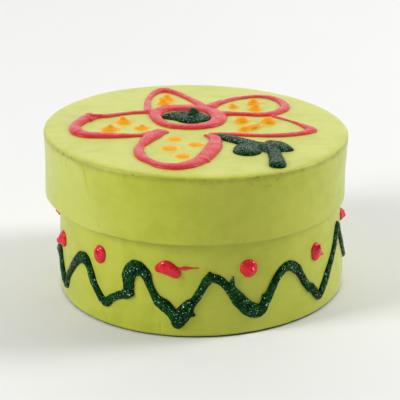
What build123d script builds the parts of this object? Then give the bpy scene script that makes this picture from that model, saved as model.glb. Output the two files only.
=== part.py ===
from build123d import *
import math
import os

# Round paper-covered board box with a lift-off lid, painted lime green and
# decorated by hand with relief paint: a five-petal flower and leaf on the lid,
# a zigzag line and dots round the base.
# Millimetres, +Z up.  Origin: centre of the base's underside.

# ---------------------------------------------------------------- dimensions
BASE_R = 42.5            # outer radius of the base, over its paper
LID_R = 45.0             # outer radius of the lid, over its paper
TOTAL_H = 48.7           # underside of the base to the lid's top paper
LID_SKIRT = 19.5         # how far the lid's side comes down
LID_SHIFT_X = -1.15      # the loose lid sits this far off the base's centre

WALL_BOARD = 1.3         # base wall board
RIM_BOARD = 0.75         # lid rim board
FLOOR_BOARD = 1.2        # base floor board
TOP_BOARD = 1.2          # lid top board
PAPER = 0.2              # outer paper
LINING = 0.2             # lining paper
RIM_LINING = 0.15        # thinner lining inside the lid rim
BASE_HEM = 5.5           # base's outer paper turned under the floor
MOUTH_HEM = 5.0          # base's outer paper turned over the mouth
LID_HEM = 4.2            # lid's side paper turned over the top and inside
BOTTOM_DISC_R = 40.5     # paper disc on the underside
TOP_DISC_R = 44.2        # paper disc on the lid's top

RELIEF_GAP = 0.04        # relief paint stands this far off the curved skin
BEAD_TOP = 0.85          # height of a relief paint line on the lid
RING_TOP = 0.98          # height of the flower's ring
CENTRE_TOP = 1.15        # height of the flower's centre
LEAF_TOP = 1.20          # height of the stem and leaf
ZIGZAG_OUT = 1.05        # how far the zigzag stands off the base's side
DOT_OUT = 1.45           # how far the side dots stand off the base's side

# ------------------------------------------------------------ derived levels
LID_LOW = TOTAL_H - LID_SKIRT
LID_TOP_Z = TOTAL_H
HEM_TOP_Z = TOTAL_H - PAPER              # top of the lid's turned hem
BOARD_TOP_Z = HEM_TOP_Z - PAPER          # top of the lid's top board
BOARD_LOW_Z = BOARD_TOP_Z - TOP_BOARD    # underside of the lid's top board
MOUTH_Z = BOARD_LOW_Z - LINING           # the base's mouth, where the lid rests
FLOOR_LOW_Z = 2 * PAPER
FLOOR_TOP_Z = FLOOR_LOW_Z + FLOOR_BOARD
WALL_OUT_R = BASE_R - PAPER
WALL_IN_R = WALL_OUT_R - WALL_BOARD
BASE_IN_R = WALL_IN_R - LINING
RIM_OUT_R = LID_R - PAPER
RIM_IN_R = RIM_OUT_R - RIM_BOARD
LID_IN_R = RIM_IN_R - RIM_LINING

NODES = {}


# ---------------------------------------------------------------- plain rings
def disc(r, z0, z1, x=0.0):
    return Pos(x, 0, z0) * Cylinder(r, z1 - z0, align=(Align.CENTER, Align.CENTER, Align.MIN))


def ring(r_in, r_out, z0, z1, x=0.0):
    return disc(r_out, z0, z1, x) - disc(r_in, z0 - 1, z1 + 1, x)


def turned(profile, x=0.0):
    """A ring-shaped skin from its (radius, height) outline."""
    face = make_face(Polyline(*[(r, 0, z) for r, z in profile], close=True))
    return Pos(x, 0, 0) * revolve(face, Axis.Z, 360)


# ------------------------------------------------------------------ base body
NODES["base_floor"] = disc(WALL_OUT_R, FLOOR_LOW_Z, FLOOR_TOP_Z)
NODES["base_wall"] = ring(WALL_IN_R, WALL_OUT_R, FLOOR_TOP_Z, MOUTH_Z - PAPER)

hem_r = BASE_R - BASE_HEM
NODES["base_bottom_paper"] = disc(BOTTOM_DISC_R, 0, PAPER) + disc(hem_r - 0.05, PAPER, FLOOR_LOW_Z)

# one strip of paper: hem under the floor, the side, over the mouth, hem inside
NODES["base_side_paper"] = turned([
    (hem_r, PAPER), (BASE_R, PAPER), (BASE_R, MOUTH_Z), (BASE_IN_R, MOUTH_Z),
    (BASE_IN_R, MOUTH_Z - MOUTH_HEM), (WALL_IN_R, MOUTH_Z - MOUTH_HEM),
    (WALL_IN_R, MOUTH_Z - PAPER), (WALL_OUT_R, MOUTH_Z - PAPER),
    (WALL_OUT_R, FLOOR_LOW_Z), (hem_r, FLOOR_LOW_Z)])

NODES["base_wall_lining"] = ring(BASE_IN_R, WALL_IN_R, FLOOR_TOP_Z + LINING, MOUTH_Z - MOUTH_HEM)
NODES["base_floor_lining"] = disc(WALL_IN_R - 0.05, FLOOR_TOP_Z, FLOOR_TOP_Z + LINING)

# ------------------------------------------------------------------- lid body
LX = LID_SHIFT_X
NODES["lid_top"] = disc(RIM_OUT_R, BOARD_LOW_Z, BOARD_TOP_Z, LX)
NODES["lid_rim"] = ring(RIM_IN_R, RIM_OUT_R, LID_LOW + PAPER, BOARD_LOW_Z, LX)

top_hem_r = LID_R - LID_HEM
NODES["lid_top_paper"] = (disc(TOP_DISC_R, HEM_TOP_Z, LID_TOP_Z, LX)
                          + disc(top_hem_r - 0.05, BOARD_TOP_Z, HEM_TOP_Z, LX))

# one strip of paper: hem on the top board, the side, round the lip, hem inside
NODES["lid_side_paper"] = turned([
    (top_hem_r, HEM_TOP_Z), (LID_R, HEM_TOP_Z), (LID_R, LID_LOW), (LID_IN_R, LID_LOW),
    (LID_IN_R, LID_LOW + LID_HEM), (RIM_IN_R, LID_LOW + LID_HEM),
    (RIM_IN_R, LID_LOW + PAPER), (RIM_OUT_R, LID_LOW + PAPER),
    (RIM_OUT_R, BOARD_TOP_Z), (top_hem_r, BOARD_TOP_Z)], LX)

NODES["lid_rim_lining"] = ring(LID_IN_R, RIM_IN_R, LID_LOW + LID_HEM, MOUTH_Z, LX)
NODES["lid_top_lining"] = disc(RIM_IN_R - 0.05, MOUTH_Z, BOARD_LOW_Z, LX)


# ---------------------------------------------------------- relief paint, lid
def hull(points):
    pts = sorted(set((round(x, 4), round(y, 4)) for x, y in points))

    def half(seq):
        out = []
        for p in seq:
            while len(out) > 1 and ((out[-1][0] - out[-2][0]) * (p[1] - out[-2][1])
                                    - (out[-1][1] - out[-2][1]) * (p[0] - out[-2][0])) <= 1e-6:
                out.pop()
            out.append(p)
        return out[:-1]
    return half(pts) + half(pts[::-1])


def circle_points(x, y, r, n=14):
    return [(x + r * math.cos(2 * math.pi * (k + 0.37) / n),
             y + r * math.sin(2 * math.pi * (k + 0.37) / n)) for k in range(n)]


def smooth(path, closed=False, steps=2):
    """Catmull-Rom points through (x, y, width) control points."""
    n = len(path)
    out = []
    for i in range(n if closed else n - 1):
        p = [path[(i + k) % n] if closed else path[min(max(i + k, 0), n - 1)] for k in (-1, 0, 1, 2)]
        for s in range(steps):
            t = s / steps
            out.append(tuple(0.5 * ((2 * b) + (c - a) * t + (2 * a - 5 * b + 4 * c - d) * t * t
                                    + (3 * b - a - 3 * c + d) * t ** 3) for a, b, c, d in zip(*p)))
    if not closed:
        out.append(tuple(path[-1]))
    return out


def stroke(path, closed=False, grow=0.0):
    """Flat outline of a line of paint, from (x, y, width) points in the lid's frame."""
    pts = smooth(path, closed)
    n = len(pts)
    shape = None
    for i in range(n if closed else n - 1):
        a, b = pts[i], pts[(i + 1) % n]
        poly = hull(circle_points(a[0], a[1], a[2] / 2 + grow) + circle_points(b[0], b[1], b[2] / 2 + grow))
        piece = make_face(Polyline(*poly, close=True))
        shape = piece if shape is None else shape + piece
    return shape


def raise_paint(shape, height):
    return Pos(LX, 0, LID_TOP_Z) * extrude(shape, amount=height)


def peak(x, y, r, height, tip=0.35):
    """A pulled-up cone of paint standing on the lid."""
    return Pos(LX + x, y, LID_TOP_Z) * Cone(r, tip, height, align=(Align.CENTER, Align.CENTER, Align.MIN))


RING = [(-12.3, 8.27, 3.6), (-11.9, 12.37, 4), (-9.3, 15.76, 4.7), (-4.5, 17.24, 4.9), (0.5, 16.82, 4.9),
        (4.3, 14.56, 4.6), (6.5, 10.23, 4.8), (6.5, 5.23, 4.8), (4.5, 0.9, 4.4), (0.6, -1.4, 4),
        (-4, -1.8, 3.8), (-8.2, -0.6, 3.6), (-10.9, 3.3, 3.6)]
PETAL_BACK_LEFT = [(-14.4, 12.98, 3.2), (-14.8, 16.46, 2.4), (-15, 19.45, 2.1), (-15.1, 24.43, 1.9),
                   (-14.3, 29.45, 2.1), (-13.2, 32.69, 2.6), (-11.8, 34.84, 3.2), (-10, 35.61, 3.6),
                   (-8.2, 34.88, 3.2), (-6, 32.77, 2.8), (-3.8, 29.85, 2.5), (-1.6, 26.54, 2.5),
                   (0.3, 23.01, 2.6), (1.8, 19.87, 3), (2.2, 18.38, 3.2)]
PETAL_BACK_RIGHT = [(4.2, 18.55, 4.2), (5.4, 20.8, 3.4), (7.6, 23.88, 2.8), (10.8, 27.01, 2.5),
                    (14.5, 29.55, 2.3), (18.5, 31.06, 2.3), (22, 30.74, 2.6), (24.8, 28.54, 2.8),
                    (26.8, 25.01, 2.7), (27.5, 20.82, 2.9), (26.6, 17.17, 3), (24.4, 14.08, 3),
                    (21.8, 11.98, 3.1), (18.5, 11.46, 3), (14.5, 11.72, 2.9), (11, 11.89, 3), (8.8, 11.91, 3.4)]
PETAL_RIGHT = [(22, 10.98, 1.3), (24.3, 9.36, 1.3), (27, 7.24, 1.3), (29.4, 4.82, 1.4), (31.5, 2.08, 2),
               (33.3, -0.67, 3.1), (33.9, -2.76, 3.4), (32.2, -4.83, 2.8), (28.5, -6.96, 2.5), (24, -8.31, 2.5),
               (19.5, -8.86, 2.5), (15, -8.61, 2.3), (10.5, -8.16, 2.4), (7, -8.27, 2.6), (4.6, -8.65, 2.6)]
PETAL_FRONT = [(2.7, -9.21, 1.2), (4, -10.07, 2.6), (5.4, -12.43, 3.6), (5.4, -16.03, 4.1), (4.5, -21.46, 4.6),
               (3.1, -26.41, 4.8), (1.3, -30.96, 4.7), (-1.4, -34.84, 4.5), (-4.4, -37.03, 4), (-7, -37.2, 3.8),
               (-9.8, -36.08, 3.4), (-12.4, -33.36, 3), (-14.8, -29.9, 3.2), (-15.9, -25.5, 2.9),
               (-16.1, -21.3, 2.6), (-14.9, -17.17, 3.1), (-13.5, -12.94, 4.6), (-12, -9.29, 5),
               (-10.7, -7.25, 4), (-9.4, -6.91, 2.4), (-8.4, -7.08, 1)]
PETAL_LEFT = [(-13.6, 12.11, 3), (-16, 12.13, 2.4), (-20, 10.99, 2.3), (-23.5, 9.37, 2.3), (-26.5, 7.76, 2.5),
              (-29.5, 6.96, 3.2), (-31.9, 5.9, 4.4), (-33.8, 2.3, 4.1), (-35.6, -3.4, 3.1), (-34.2, -8.73, 4),
              (-31.5, -10.93, 3.9), (-28.5, -11.23, 3.9), (-25, -11.31, 4.1), (-21.5, -11.3, 3.3),
              (-18, -10.59, 2.6), (-15.7, -9.91, 2.4), (-13.8, -8.85, 2.8)]
STEM = [(7, -10.1, 3.2), (10, -12.4, 4.2), (13.2, -15.1, 4.4), (16.5, -17.7, 4.9), (19.5, -19.6, 4.9),
        (21.7, -23.4, 4.1), (22.1, -27.6, 4), (22.3, -31.2, 4.6), (22.3, -34, 5.2)]
LEAF_LEFT = [(14.5, -20.64, 7.6), (14.3, -22.65, 7.8)]
LEAF_RIGHT = [(21.6, -16.2, 5), (23, -18, 6.4), (24.4, -20, 5.6), (26.3, -20.9, 2.4)]
# outline of the paint in the middle of the ring, as (x, y)
POOL = [(-10.9, 7.02), (-9.6, 10.26), (-6.6, 12.56), (-2.6, 13.11), (1.2, 12.34), (3.4, 10.02), (4.7, 7.67),
        (2.5, 3.99), (-1.5, 1.9), (-4.4, 3), (-6.4, 4.7), (-8.6, 5.6)]

# (x, y, radius, height) of the orange dots in each petal
DOTS = {
    "petal_dots_back_left": [(-9.2, 25.9, 2.35, 1.85), (-9.9, 21, 2, 1.8)],
    "petal_dots_back_right": [(11.4, 19.2, 1.7, 1.3), (17.7, 23.1, 2.05, 1.95), (18.1, 17.4, 2, 1.75)],
    "petal_dots_right": [(13.6, 4.4, 2, 1.9), (21.5, 4.4, 2.15, 1.9), (14.1, -3.9, 1.8, 1.3), (16.2, -2.1, 1, 0.95), (17.9, -0.7, 1.3, 1.15)],
    "petal_dots_front": [(-6.2, -12.6, 1.95, 0.55), (-0.2, -17.3, 2.05, 0.6), (-7.5, -21, 2.15, 0.6), (-3.7, -27.6, 2, 0.65)],
    "petal_dots_left": [(-21.5, 2.1, 2.4, 1.9), (-25.3, -5.3, 2.4, 1.7), (-16, -3.3, 2.05, 1.2)],
}

GAP = 0.05
ring_flat = stroke(RING, closed=True)
ring_wide = stroke(RING, closed=True, grow=GAP)
NODES["flower_ring"] = raise_paint(ring_flat, RING_TOP)

pool = make_face(Polyline(*[(x, y) for x, y, w in smooth([(x, y, 1) for x, y in POOL], closed=True)], close=True))
centre_flat = pool - ring_wide
NODES["flower_centre"] = raise_paint(centre_flat, CENTRE_TOP) + peak(-0.8, 9.7, 2.6, 2.4)

petals = [("petal_back_left", PETAL_BACK_LEFT), ("petal_back_right", PETAL_BACK_RIGHT),
          ("petal_right", PETAL_RIGHT), ("petal_front", PETAL_FRONT), ("petal_left", PETAL_LEFT)]
taken = ring_wide
for name, path in petals:
    NODES[name] = raise_paint(stroke(path) - taken, BEAD_TOP)
    taken = taken + stroke(path, grow=GAP)
NODES["petal_left"] = NODES["petal_left"] + peak(-31.8, 6.3, 1.7, 1.5)

leaf_flat = stroke(STEM) + stroke(LEAF_LEFT) + stroke(LEAF_RIGHT)
NODES["stem_and_leaf"] = raise_paint(leaf_flat - taken, LEAF_TOP)

for name, dots in DOTS.items():
    group = None
    for x, y, r, h in dots:
        d = peak(x, y, r, h, tip=0.45 if h > 1 else 1.1)
        group = d if group is None else group + d
    NODES[name] = group

# --------------------------------------------------------- relief paint, base
# centre line of the zigzag as (degrees from the front, height, width); +X side positive
ZIGZAG = [(-84, 11.8, 2.4), (-79.5, 13.8, 2.4), (-76.6, 15.2, 2.5), (-74.9, 14, 2.6), (-73.6, 12, 2.7),
          (-71.5, 9.6, 2.8), (-69.9, 7.6, 2.9), (-68, 5.8, 2.8), (-66.8, 5.4, 2.5), (-65.4, 7.2, 2.2),
          (-63.8, 9.5, 2.2), (-60.8, 12.3, 2.4), (-57.1, 15.5, 2.9), (-53.8, 17.5, 3.3), (-50.6, 18.1, 3.4),
          (-48.4, 16.9, 3), (-47, 15, 2.6), (-46, 12.9, 2.5), (-44.3, 10.9, 2.4), (-42.2, 9, 2.4),
          (-40.3, 7.6, 2.5), (-38.4, 7.3, 2.5), (-36.4, 8.8, 2.3), (-32.5, 10.6, 2.3), (-28.9, 11.6, 3),
          (-28.1, 14, 3.3), (-27.9, 17.7, 3.8), (-24.9, 20.1, 4.2), (-21.1, 18.7, 3.2), (-19.6, 15.7, 2.3),
          (-18, 13.2, 2.5), (-16.2, 11.1, 3.3), (-13.6, 9.6, 4), (-11.6, 8.1, 3.7), (-9.9, 6.3, 3.5),
          (-8.8, 4.6, 3.3), (-7.4, 6.3, 3.8), (-6, 8.1, 4), (-4.3, 10.1, 2.9), (-2.2, 11.9, 2.3),
          (-0.6, 13.9, 2.2), (1, 16, 2.3), (2.6, 17.8, 2.8), (4, 18.4, 2.9), (6.9, 17.5, 2.8), (9.3, 15.7, 2.4),
          (11.7, 13.8, 3.1), (14.5, 10.9, 4.1), (18, 8.1, 4.5), (21.4, 6.8, 4.1), (23.4, 7.2, 3.6), (25, 9, 3),
          (27.3, 11.8, 2.6), (29.9, 15.3, 2.5), (33.2, 17.8, 2.8), (36.4, 18.2, 2.9), (39.7, 16.7, 2.8),
          (42.1, 14.3, 2.5), (44.5, 11.3, 2.3), (47, 9.2, 2.5), (48.9, 8.4, 2.6), (50.9, 6.3, 2.7),
          (52.9, 5.2, 2.5), (55.3, 7.1, 2.8), (60.6, 11.8, 2.5), (65.3, 15.6, 2.4), (69.3, 19.5, 2.6),
          (71.3, 22, 2.5), (72.7, 21.7, 2.2), (74.4, 19.6, 2.2), (76.6, 16.9, 2.2), (79.2, 14.1, 2.2),
          (82, 11.5, 2.3), (85, 9.5, 2.4), (88.5, 8.2, 2.6), (92.5, 8, 2.8), (96.4, 9.4, 2.9), (99.6, 13.6, 3),
          (102.6, 19, 3), (105.4, 21, 3.2), (108, 18.6, 3.2), (112, 12.2, 3), (115.6, 6.8, 3),
          (118.8, 5.2, 3.3), (122, 7.6, 3.2), (127, 13.6, 2.9), (132, 18.6, 3), (135.5, 19.4, 3.4),
          (139, 16.4, 3.2), (144, 10.8, 2.8), (149, 7, 3), (152.5, 6.6, 3.3), (156, 9.6, 3), (161, 15.4, 2.8),
          (166, 20, 3), (169.5, 20.8, 3.3), (173, 17.6, 3.2), (178, 10.8, 3), (183, 5.6, 3.1),
          (186.5, 4.8, 3.3), (190, 7.8, 3.1), (195, 13.6, 2.8), (200, 18, 3), (203.5, 18.9, 3.4),
          (207, 16.2, 3.2), (212, 10.6, 3), (216.5, 6.6, 3.1), (220.5, 6, 3.4), (225, 8.4, 3.1),
          (230.5, 13.6, 2.8), (236, 18.6, 3), (240.5, 20, 3.2), (245, 17.2, 3.2), (250.5, 11.4, 3),
          (256.5, 6.6, 3), (261.5, 5.4, 3.2), (266, 7.2, 3), (270.5, 10.2, 2.7)]

# red dots: (degrees, height, radius); the second and third run together into one long dot
SIDE_DOTS = [(-41.5, 21.4, 2.58), (-14.2, 21.2, 1.9), (-10.9, 20.5, 1.85), (18.3, 20.1, 2.6),
             (51.5, 19.2, 2.48), (84, 22.3, 2.15), (118, 20.4, 2.45), (153, 21, 2.5), (186, 19.8, 2.3),
             (221, 20.8, 2.55), (267.5, 21.5, 1.85), (-70.7, 18.8, 2.55)]


def on_side(deg, r, z):
    a = math.radians(deg)
    return (r * math.sin(a), -r * math.cos(a), z)


def zigzag_band(step=2.0):
    """Closed band round the base: its edges are the envelope of round brush marks along the line."""
    line = smooth([(BASE_R * math.radians(d), z, w) for d, z, w in ZIGZAG], closed=False, steps=6)
    turn = 2 * math.pi * BASE_R
    first = ZIGZAG[0]
    last = ZIGZAG[-1]
    line += smooth([(BASE_R * math.radians(last[0]), last[1], last[2]),
                    (BASE_R * math.radians(first[0]) + turn, first[1], first[2])], steps=6)
    line = line + [(s - turn, z, w) for s, z, w in line] + [(s + turn, z, w) for s, z, w in line]
    count = round(360 / step)
    rows = []
    for k in range(count):
        d = -80 + 360 * k / count
        s0 = BASE_R * math.radians(d)
        up, low = -1e9, 1e9
        for s, z, w in line:
            h = (w / 2) ** 2 - (s - s0) ** 2
            if h > 0:
                up = max(up, z + math.sqrt(h))
                low = min(low, z - math.sqrt(h))
        rows.append((d, low, up))
    r0, r1 = BASE_R + RELIEF_GAP, BASE_R + ZIGZAG_OUT
    faces = []

    def face(*pts):
        faces.append(Face(Wire.make_polygon([Vector(*p) for p in pts], close=True)))
    for k in range(count):
        (d, lo, up), (e, lo2, up2) = rows[k], rows[(k + 1) % count]
        a0, a1 = on_side(d, r0, lo), on_side(d, r0, up)
        b0, b1 = on_side(e, r0, lo2), on_side(e, r0, up2)
        c0, c1 = on_side(d, r1, lo + 0.45), on_side(d, r1, up - 0.45)
        g0, g1 = on_side(e, r1, lo2 + 0.45), on_side(e, r1, up2 - 0.45)
        face(a0, b0, b1, a1)
        face(c0, c1, g1, g0)
        face(a1, b1, c1)
        face(b1, g1, c1)
        face(a0, c0, b0)
        face(b0, c0, g0)
    return Solid(Shell(faces))


NODES["zigzag_line"] = zigzag_band()

skin = ring(BASE_R + RELIEF_GAP, BASE_R + DOT_OUT, 1, LID_LOW - 1)
dots = None
for d, z, r in SIDE_DOTS:
    plane = Plane(origin=on_side(d, BASE_R - 3, z), x_dir=on_side(d + 90, 1, 0), z_dir=on_side(d, 1, 0))
    dot = plane * Cone(r * 1.12, r * 0.62, 3 + DOT_OUT + 0.5, align=(Align.CENTER, Align.CENTER, Align.MIN))
    dot = dot & skin
    dots = dot if dots is None else dots + dot
NODES["side_dots"] = dots

# --------------------------------------------------------------------- export
os.makedirs("parts", exist_ok=True)
for name, shape in NODES.items():
    export_step(shape, f"parts/{name}.step")
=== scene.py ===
"""Looks of a round, hand-painted craft box of paper-covered board with a lift-off lid.

Everything is in metres in the CAD model's own frame. The helper functions below work in millimetres, because the
object is small, and make_mesh() turns them into metres. All shapes are made in code; all noise is seeded.
"""
import math

import bpy
import numpy as np
from mathutils import Matrix, Vector


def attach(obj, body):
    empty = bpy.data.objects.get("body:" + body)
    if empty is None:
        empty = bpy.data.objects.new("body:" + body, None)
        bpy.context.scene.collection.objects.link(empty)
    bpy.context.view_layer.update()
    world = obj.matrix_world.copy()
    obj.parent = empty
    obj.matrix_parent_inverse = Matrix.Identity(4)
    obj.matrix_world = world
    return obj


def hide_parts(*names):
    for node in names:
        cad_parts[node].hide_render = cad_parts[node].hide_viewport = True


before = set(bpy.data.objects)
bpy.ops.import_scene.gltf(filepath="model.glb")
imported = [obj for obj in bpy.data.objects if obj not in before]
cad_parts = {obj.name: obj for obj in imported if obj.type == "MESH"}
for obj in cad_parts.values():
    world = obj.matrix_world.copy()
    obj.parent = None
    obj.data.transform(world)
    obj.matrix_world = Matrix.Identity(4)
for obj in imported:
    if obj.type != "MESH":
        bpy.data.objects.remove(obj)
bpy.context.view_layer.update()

# ------------------------------------------------------------------ sizes, mm
BASE_R, LID_R = 42.5, 45.0
H = 48.7                      # top of the lid
SKIRT = 19.5
LX = -1.15                    # the lid sits this far off the base's axis
LID_LOW = H - SKIRT
MOUTH = 46.9                  # the base's mouth, where the lid rests
BASE_IN, LID_IN = 40.8, 43.9
TILT = -0.0245                # the lid's top is a little lower on the right
LIP_TILT = -0.0165
# the lid's wall is a little waisted: change of radius at each height
WAIST = ([29.0, 30.0, 38.0, 45.0, 47.0, 48.0], [-0.28, -0.28, -0.43, -0.22, -0.10, 0.0])
# the base's wall leans and is not quite round: change of radius on its right and left at each height
BASE_RIGHT = ([0, 4, 9, 14, 20.6, 28, 31, 47], [0.35, 0.62, 0.5, 0.05, -0.45, -0.6, -0.7, -0.72])
BASE_LEFT = ([0, 4, 9, 14, 19.5, 28, 31, 47], [0.25, 0.32, 0.35, 0.15, -0.1, -0.2, -0.2, -0.2])


# ---------------------------------------------------------------------- noise
def _hash(ix, iy, iz, seed):
    h = (ix.astype(np.int64) * 374761393 + iy.astype(np.int64) * 668265263
         + iz.astype(np.int64) * 2147483647 + seed * 144665) & 0xFFFFFFFF
    h = ((h ^ (h >> 13)) * 1274126177) & 0xFFFFFFFF
    h = h ^ (h >> 16)
    return (h & 0xFFFF).astype(np.float64) / 32767.5 - 1.0


def noise(x, y, z, size, seed=0):
    """Smooth value noise, about -1 to 1, with features of the given size."""
    x, y, z = np.broadcast_arrays(np.asarray(x, float) / size, np.asarray(y, float) / size, np.asarray(z, float) / size)
    ix, iy, iz = np.floor(x), np.floor(y), np.floor(z)
    fx, fy, fz = x - ix, y - iy, z - iz
    fx, fy, fz = (t * t * t * (t * (t * 6 - 15) + 10) for t in (fx, fy, fz))
    out = 0.0
    for dx in (0, 1):
        for dy in (0, 1):
            for dz in (0, 1):
                w = (fx if dx else 1 - fx) * (fy if dy else 1 - fy) * (fz if dz else 1 - fz)
                out = out + w * _hash(ix + dx, iy + dy, iz + dz, seed)
    return out


def fbm(x, y, z, size, seed=0, octaves=3, fall=0.5):
    out, amp, total = 0.0, 1.0, 0.0
    for k in range(octaves):
        out = out + amp * noise(x, y, z, size / 2 ** k, seed + 17 * k)
        total += amp
        amp *= fall
    return out / total


def step(lo, hi, v):
    t = np.clip((np.asarray(v, float) - lo) / (hi - lo), 0, 1)
    return t * t * (3 - 2 * t)


def bump(v, centre, width):
    return np.exp(-((np.asarray(v, float) - centre) / width) ** 2)


# --------------------------------------------------------------------- meshes
def make_mesh(name, verts_mm, faces, uv=None, sharp=None):
    """faces is an (n, 4) or (n, 3) array, or a list of such arrays."""
    groups = [np.asarray(f, np.int32) for f in (faces if isinstance(faces, (list, tuple)) else [faces]) if len(f)]
    loops = np.concatenate([g.ravel() for g in groups])
    totals = np.concatenate([np.full(len(g), g.shape[1], np.int32) for g in groups])
    starts = np.concatenate([[0], np.cumsum(totals)[:-1]]).astype(np.int32)
    me = bpy.data.meshes.new(name)
    me.vertices.add(len(verts_mm))
    me.vertices.foreach_set("co", (np.asarray(verts_mm, float) * 0.001).astype(np.float32).ravel())
    me.loops.add(len(loops))
    me.loops.foreach_set("vertex_index", loops)
    me.polygons.add(len(totals))
    me.polygons.foreach_set("loop_start", starts)
    me.update(calc_edges=True)
    me.polygons.foreach_set("use_smooth", np.ones(len(totals), bool))
    if uv is not None:
        layer = me.uv_layers.new(name="OFBake")
        layer.data.foreach_set("uv", np.asarray(uv, np.float32).ravel())
    me.validate()
    if sharp is not None:
        me.set_sharp_from_angle(angle=math.radians(sharp))
    ob = bpy.data.objects.new(name, me)
    bpy.context.scene.collection.objects.link(ob)
    return ob


def lid_drop(x):
    return TILT * (x - LX)


def lid_warp(p, outer):
    """The lid's outside follows its slight tilt and its walls their lean; its inside stays level where it meets the
    base."""
    z = p[..., 2]
    x, y = p[..., 0] - LX, p[..., 1]
    inner = np.where(z < MOUTH, np.clip((MOUTH - z) / (MOUTH - LID_LOW), 0, 1), np.clip((z - MOUTH) / 1.4, 0, 1))
    s = np.where(outer, 1.0, inner)
    tilt = np.interp(z, (LID_LOW, H), (LIP_TILT, TILT))
    k = 1 + np.interp(z, *WAIST) / LID_R * (np.hypot(x, y) / LID_R) ** 5
    p = p.copy()
    p[..., 0] = LX + x * k + TILT * np.clip(H - z, 0, None)
    p[..., 1] = y * k
    p[..., 2] = z + s * tilt * x
    return p


def base_out(A, Z):
    """How far the base's wall is from its true radius, by angle from the front and height."""
    s = np.sin(A)
    return (np.interp(Z, *BASE_RIGHT) * np.clip(s, 0, 1) ** 2 + np.interp(Z, *BASE_LEFT) * np.clip(-s, 0, 1) ** 2
            - 0.55 * np.sin(2 * A) * np.clip(np.cos(A), 0, 1))


def base_warp(p):
    x, y = p[..., 0], p[..., 1]
    r = np.hypot(x, y)
    k = 1 + base_out(np.arctan2(x, -y), p[..., 2]) / BASE_R * (r / BASE_R) ** 3
    p = p.copy()
    p[..., 0], p[..., 1] = x * k, y * k
    return p


def arc_line(points, spacing):
    """A closed (r, z) outline from corner points (r, z, radius, kind), resampled. Returns r, z, and each sample's kind."""
    n = len(points)
    out = []
    for i in range(n):
        p0, p1, p2 = (np.array(points[(i + k) % n][:2], float) for k in (-1, 0, 1))
        rad = points[i][2]
        a, b = p0 - p1, p2 - p1
        la, lb = np.linalg.norm(a), np.linalg.norm(b)
        a, b = a / la, b / lb
        cosang = np.clip(a @ b, -1, 1)
        half = math.acos(cosang) / 2
        if rad <= 0 or abs(math.pi - 2 * half) < 0.05:
            out.append((p1, i))
            continue
        cut = min(rad / math.tan(half), 0.49 * la, 0.49 * lb)
        rr = cut * math.tan(half)
        mid = (a + b) / np.linalg.norm(a + b)
        centre = p1 + mid * (rr / math.sin(half))
        s, e = p1 + a * cut, p1 + b * cut
        a0 = math.atan2(*(s - centre)[::-1])
        a1 = math.atan2(*(e - centre)[::-1])
        d = (a1 - a0 + math.pi) % (2 * math.pi) - math.pi
        steps = max(3, int(abs(d) * rr / 0.08))
        for k in range(steps + 1):
            t = a0 + d * k / steps
            out.append((centre + rr * np.array([math.cos(t), math.sin(t)]), i))
    dense = []
    m = len(out)
    for i in range(m):
        p, q = out[i][0], out[(i + 1) % m][0]
        gap = spacing[points[out[i][1]][3]] if isinstance(spacing, dict) else spacing
        k = max(1, int(np.linalg.norm(q - p) / gap))
        for j in range(k):
            dense.append((*(p + (q - p) * j / k), out[i][1]))
    return np.array(dense)


def turned_skin(name, outline, spacing, angles, cx, shape, sharp=35, strips=3):
    """A ring-shaped closed skin. shape(a, r, z, kind) returns the moved points; a is the angle from the front.
    Its map is cut into strips laid one above the other, so that lengths come out alike both ways."""
    line = arc_line(outline, spacing)
    r, z = line[:, 0], line[:, 1]
    kinds = np.array([outline[int(i)][3] for i in line[:, 2]])
    n, m = len(line), len(angles)
    A, R = np.meshgrid(angles, r, indexing="ij")
    _, Z = np.meshgrid(angles, z, indexing="ij")
    K = np.broadcast_to(kinds, A.shape)
    P = shape(A, R, Z, K)
    P[..., 0] += cx
    idx = np.arange(m * n).reshape(m, n)
    nxt, nxs = np.roll(idx, -1, 0), np.roll(idx, -1, 1)
    both = np.roll(nxt, -1, 1)
    quads = np.stack([idx, nxt, both, nxs], -1).reshape(-1, 4)
    area = 0.5 * np.sum(r * np.roll(z, -1) - np.roll(r, -1) * z)
    length = np.concatenate([[0], np.cumsum(np.hypot(np.diff(np.append(r, r[0])), np.diff(np.append(z, z[0]))))])
    turn = angles / (2 * math.pi)
    strip = np.minimum((turn * strips).astype(int), strips - 1)
    u0 = turn * strips - strip
    u1 = np.append(turn[1:], 1.0 + turn[0]) * strips - strip
    squeeze = 0.985 / max(1.0, u1.max())
    u0, u1 = (np.repeat(u * squeeze, n).reshape(m, n) for u in (u0, u1))
    base = np.repeat(strip / strips, n).reshape(m, n)
    v0 = base + np.broadcast_to(length[:-1] / length[-1], (m, n)) * 0.985 / strips
    v1 = base + np.broadcast_to(length[1:] / length[-1], (m, n)) * 0.985 / strips
    uv = np.stack([np.stack([u0, v0], -1), np.stack([u1, v0], -1), np.stack([u1, v1], -1), np.stack([u0, v1], -1)], 2)
    uv = uv.reshape(-1, 4, 2)
    if area < 0:
        quads, uv = quads[:, ::-1], uv[:, ::-1]
    ob = make_mesh(name, P.reshape(-1, 3), np.ascontiguousarray(quads), np.ascontiguousarray(uv).reshape(-1, 2), sharp)
    return ob, A.ravel(), R.ravel(), Z.ravel(), K.ravel()


def mark(ob, name, values):
    layer = ob.data.attributes.new(name, "FLOAT", "POINT")
    layer.data.foreach_set("value", np.asarray(values, np.float32).ravel())


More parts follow.
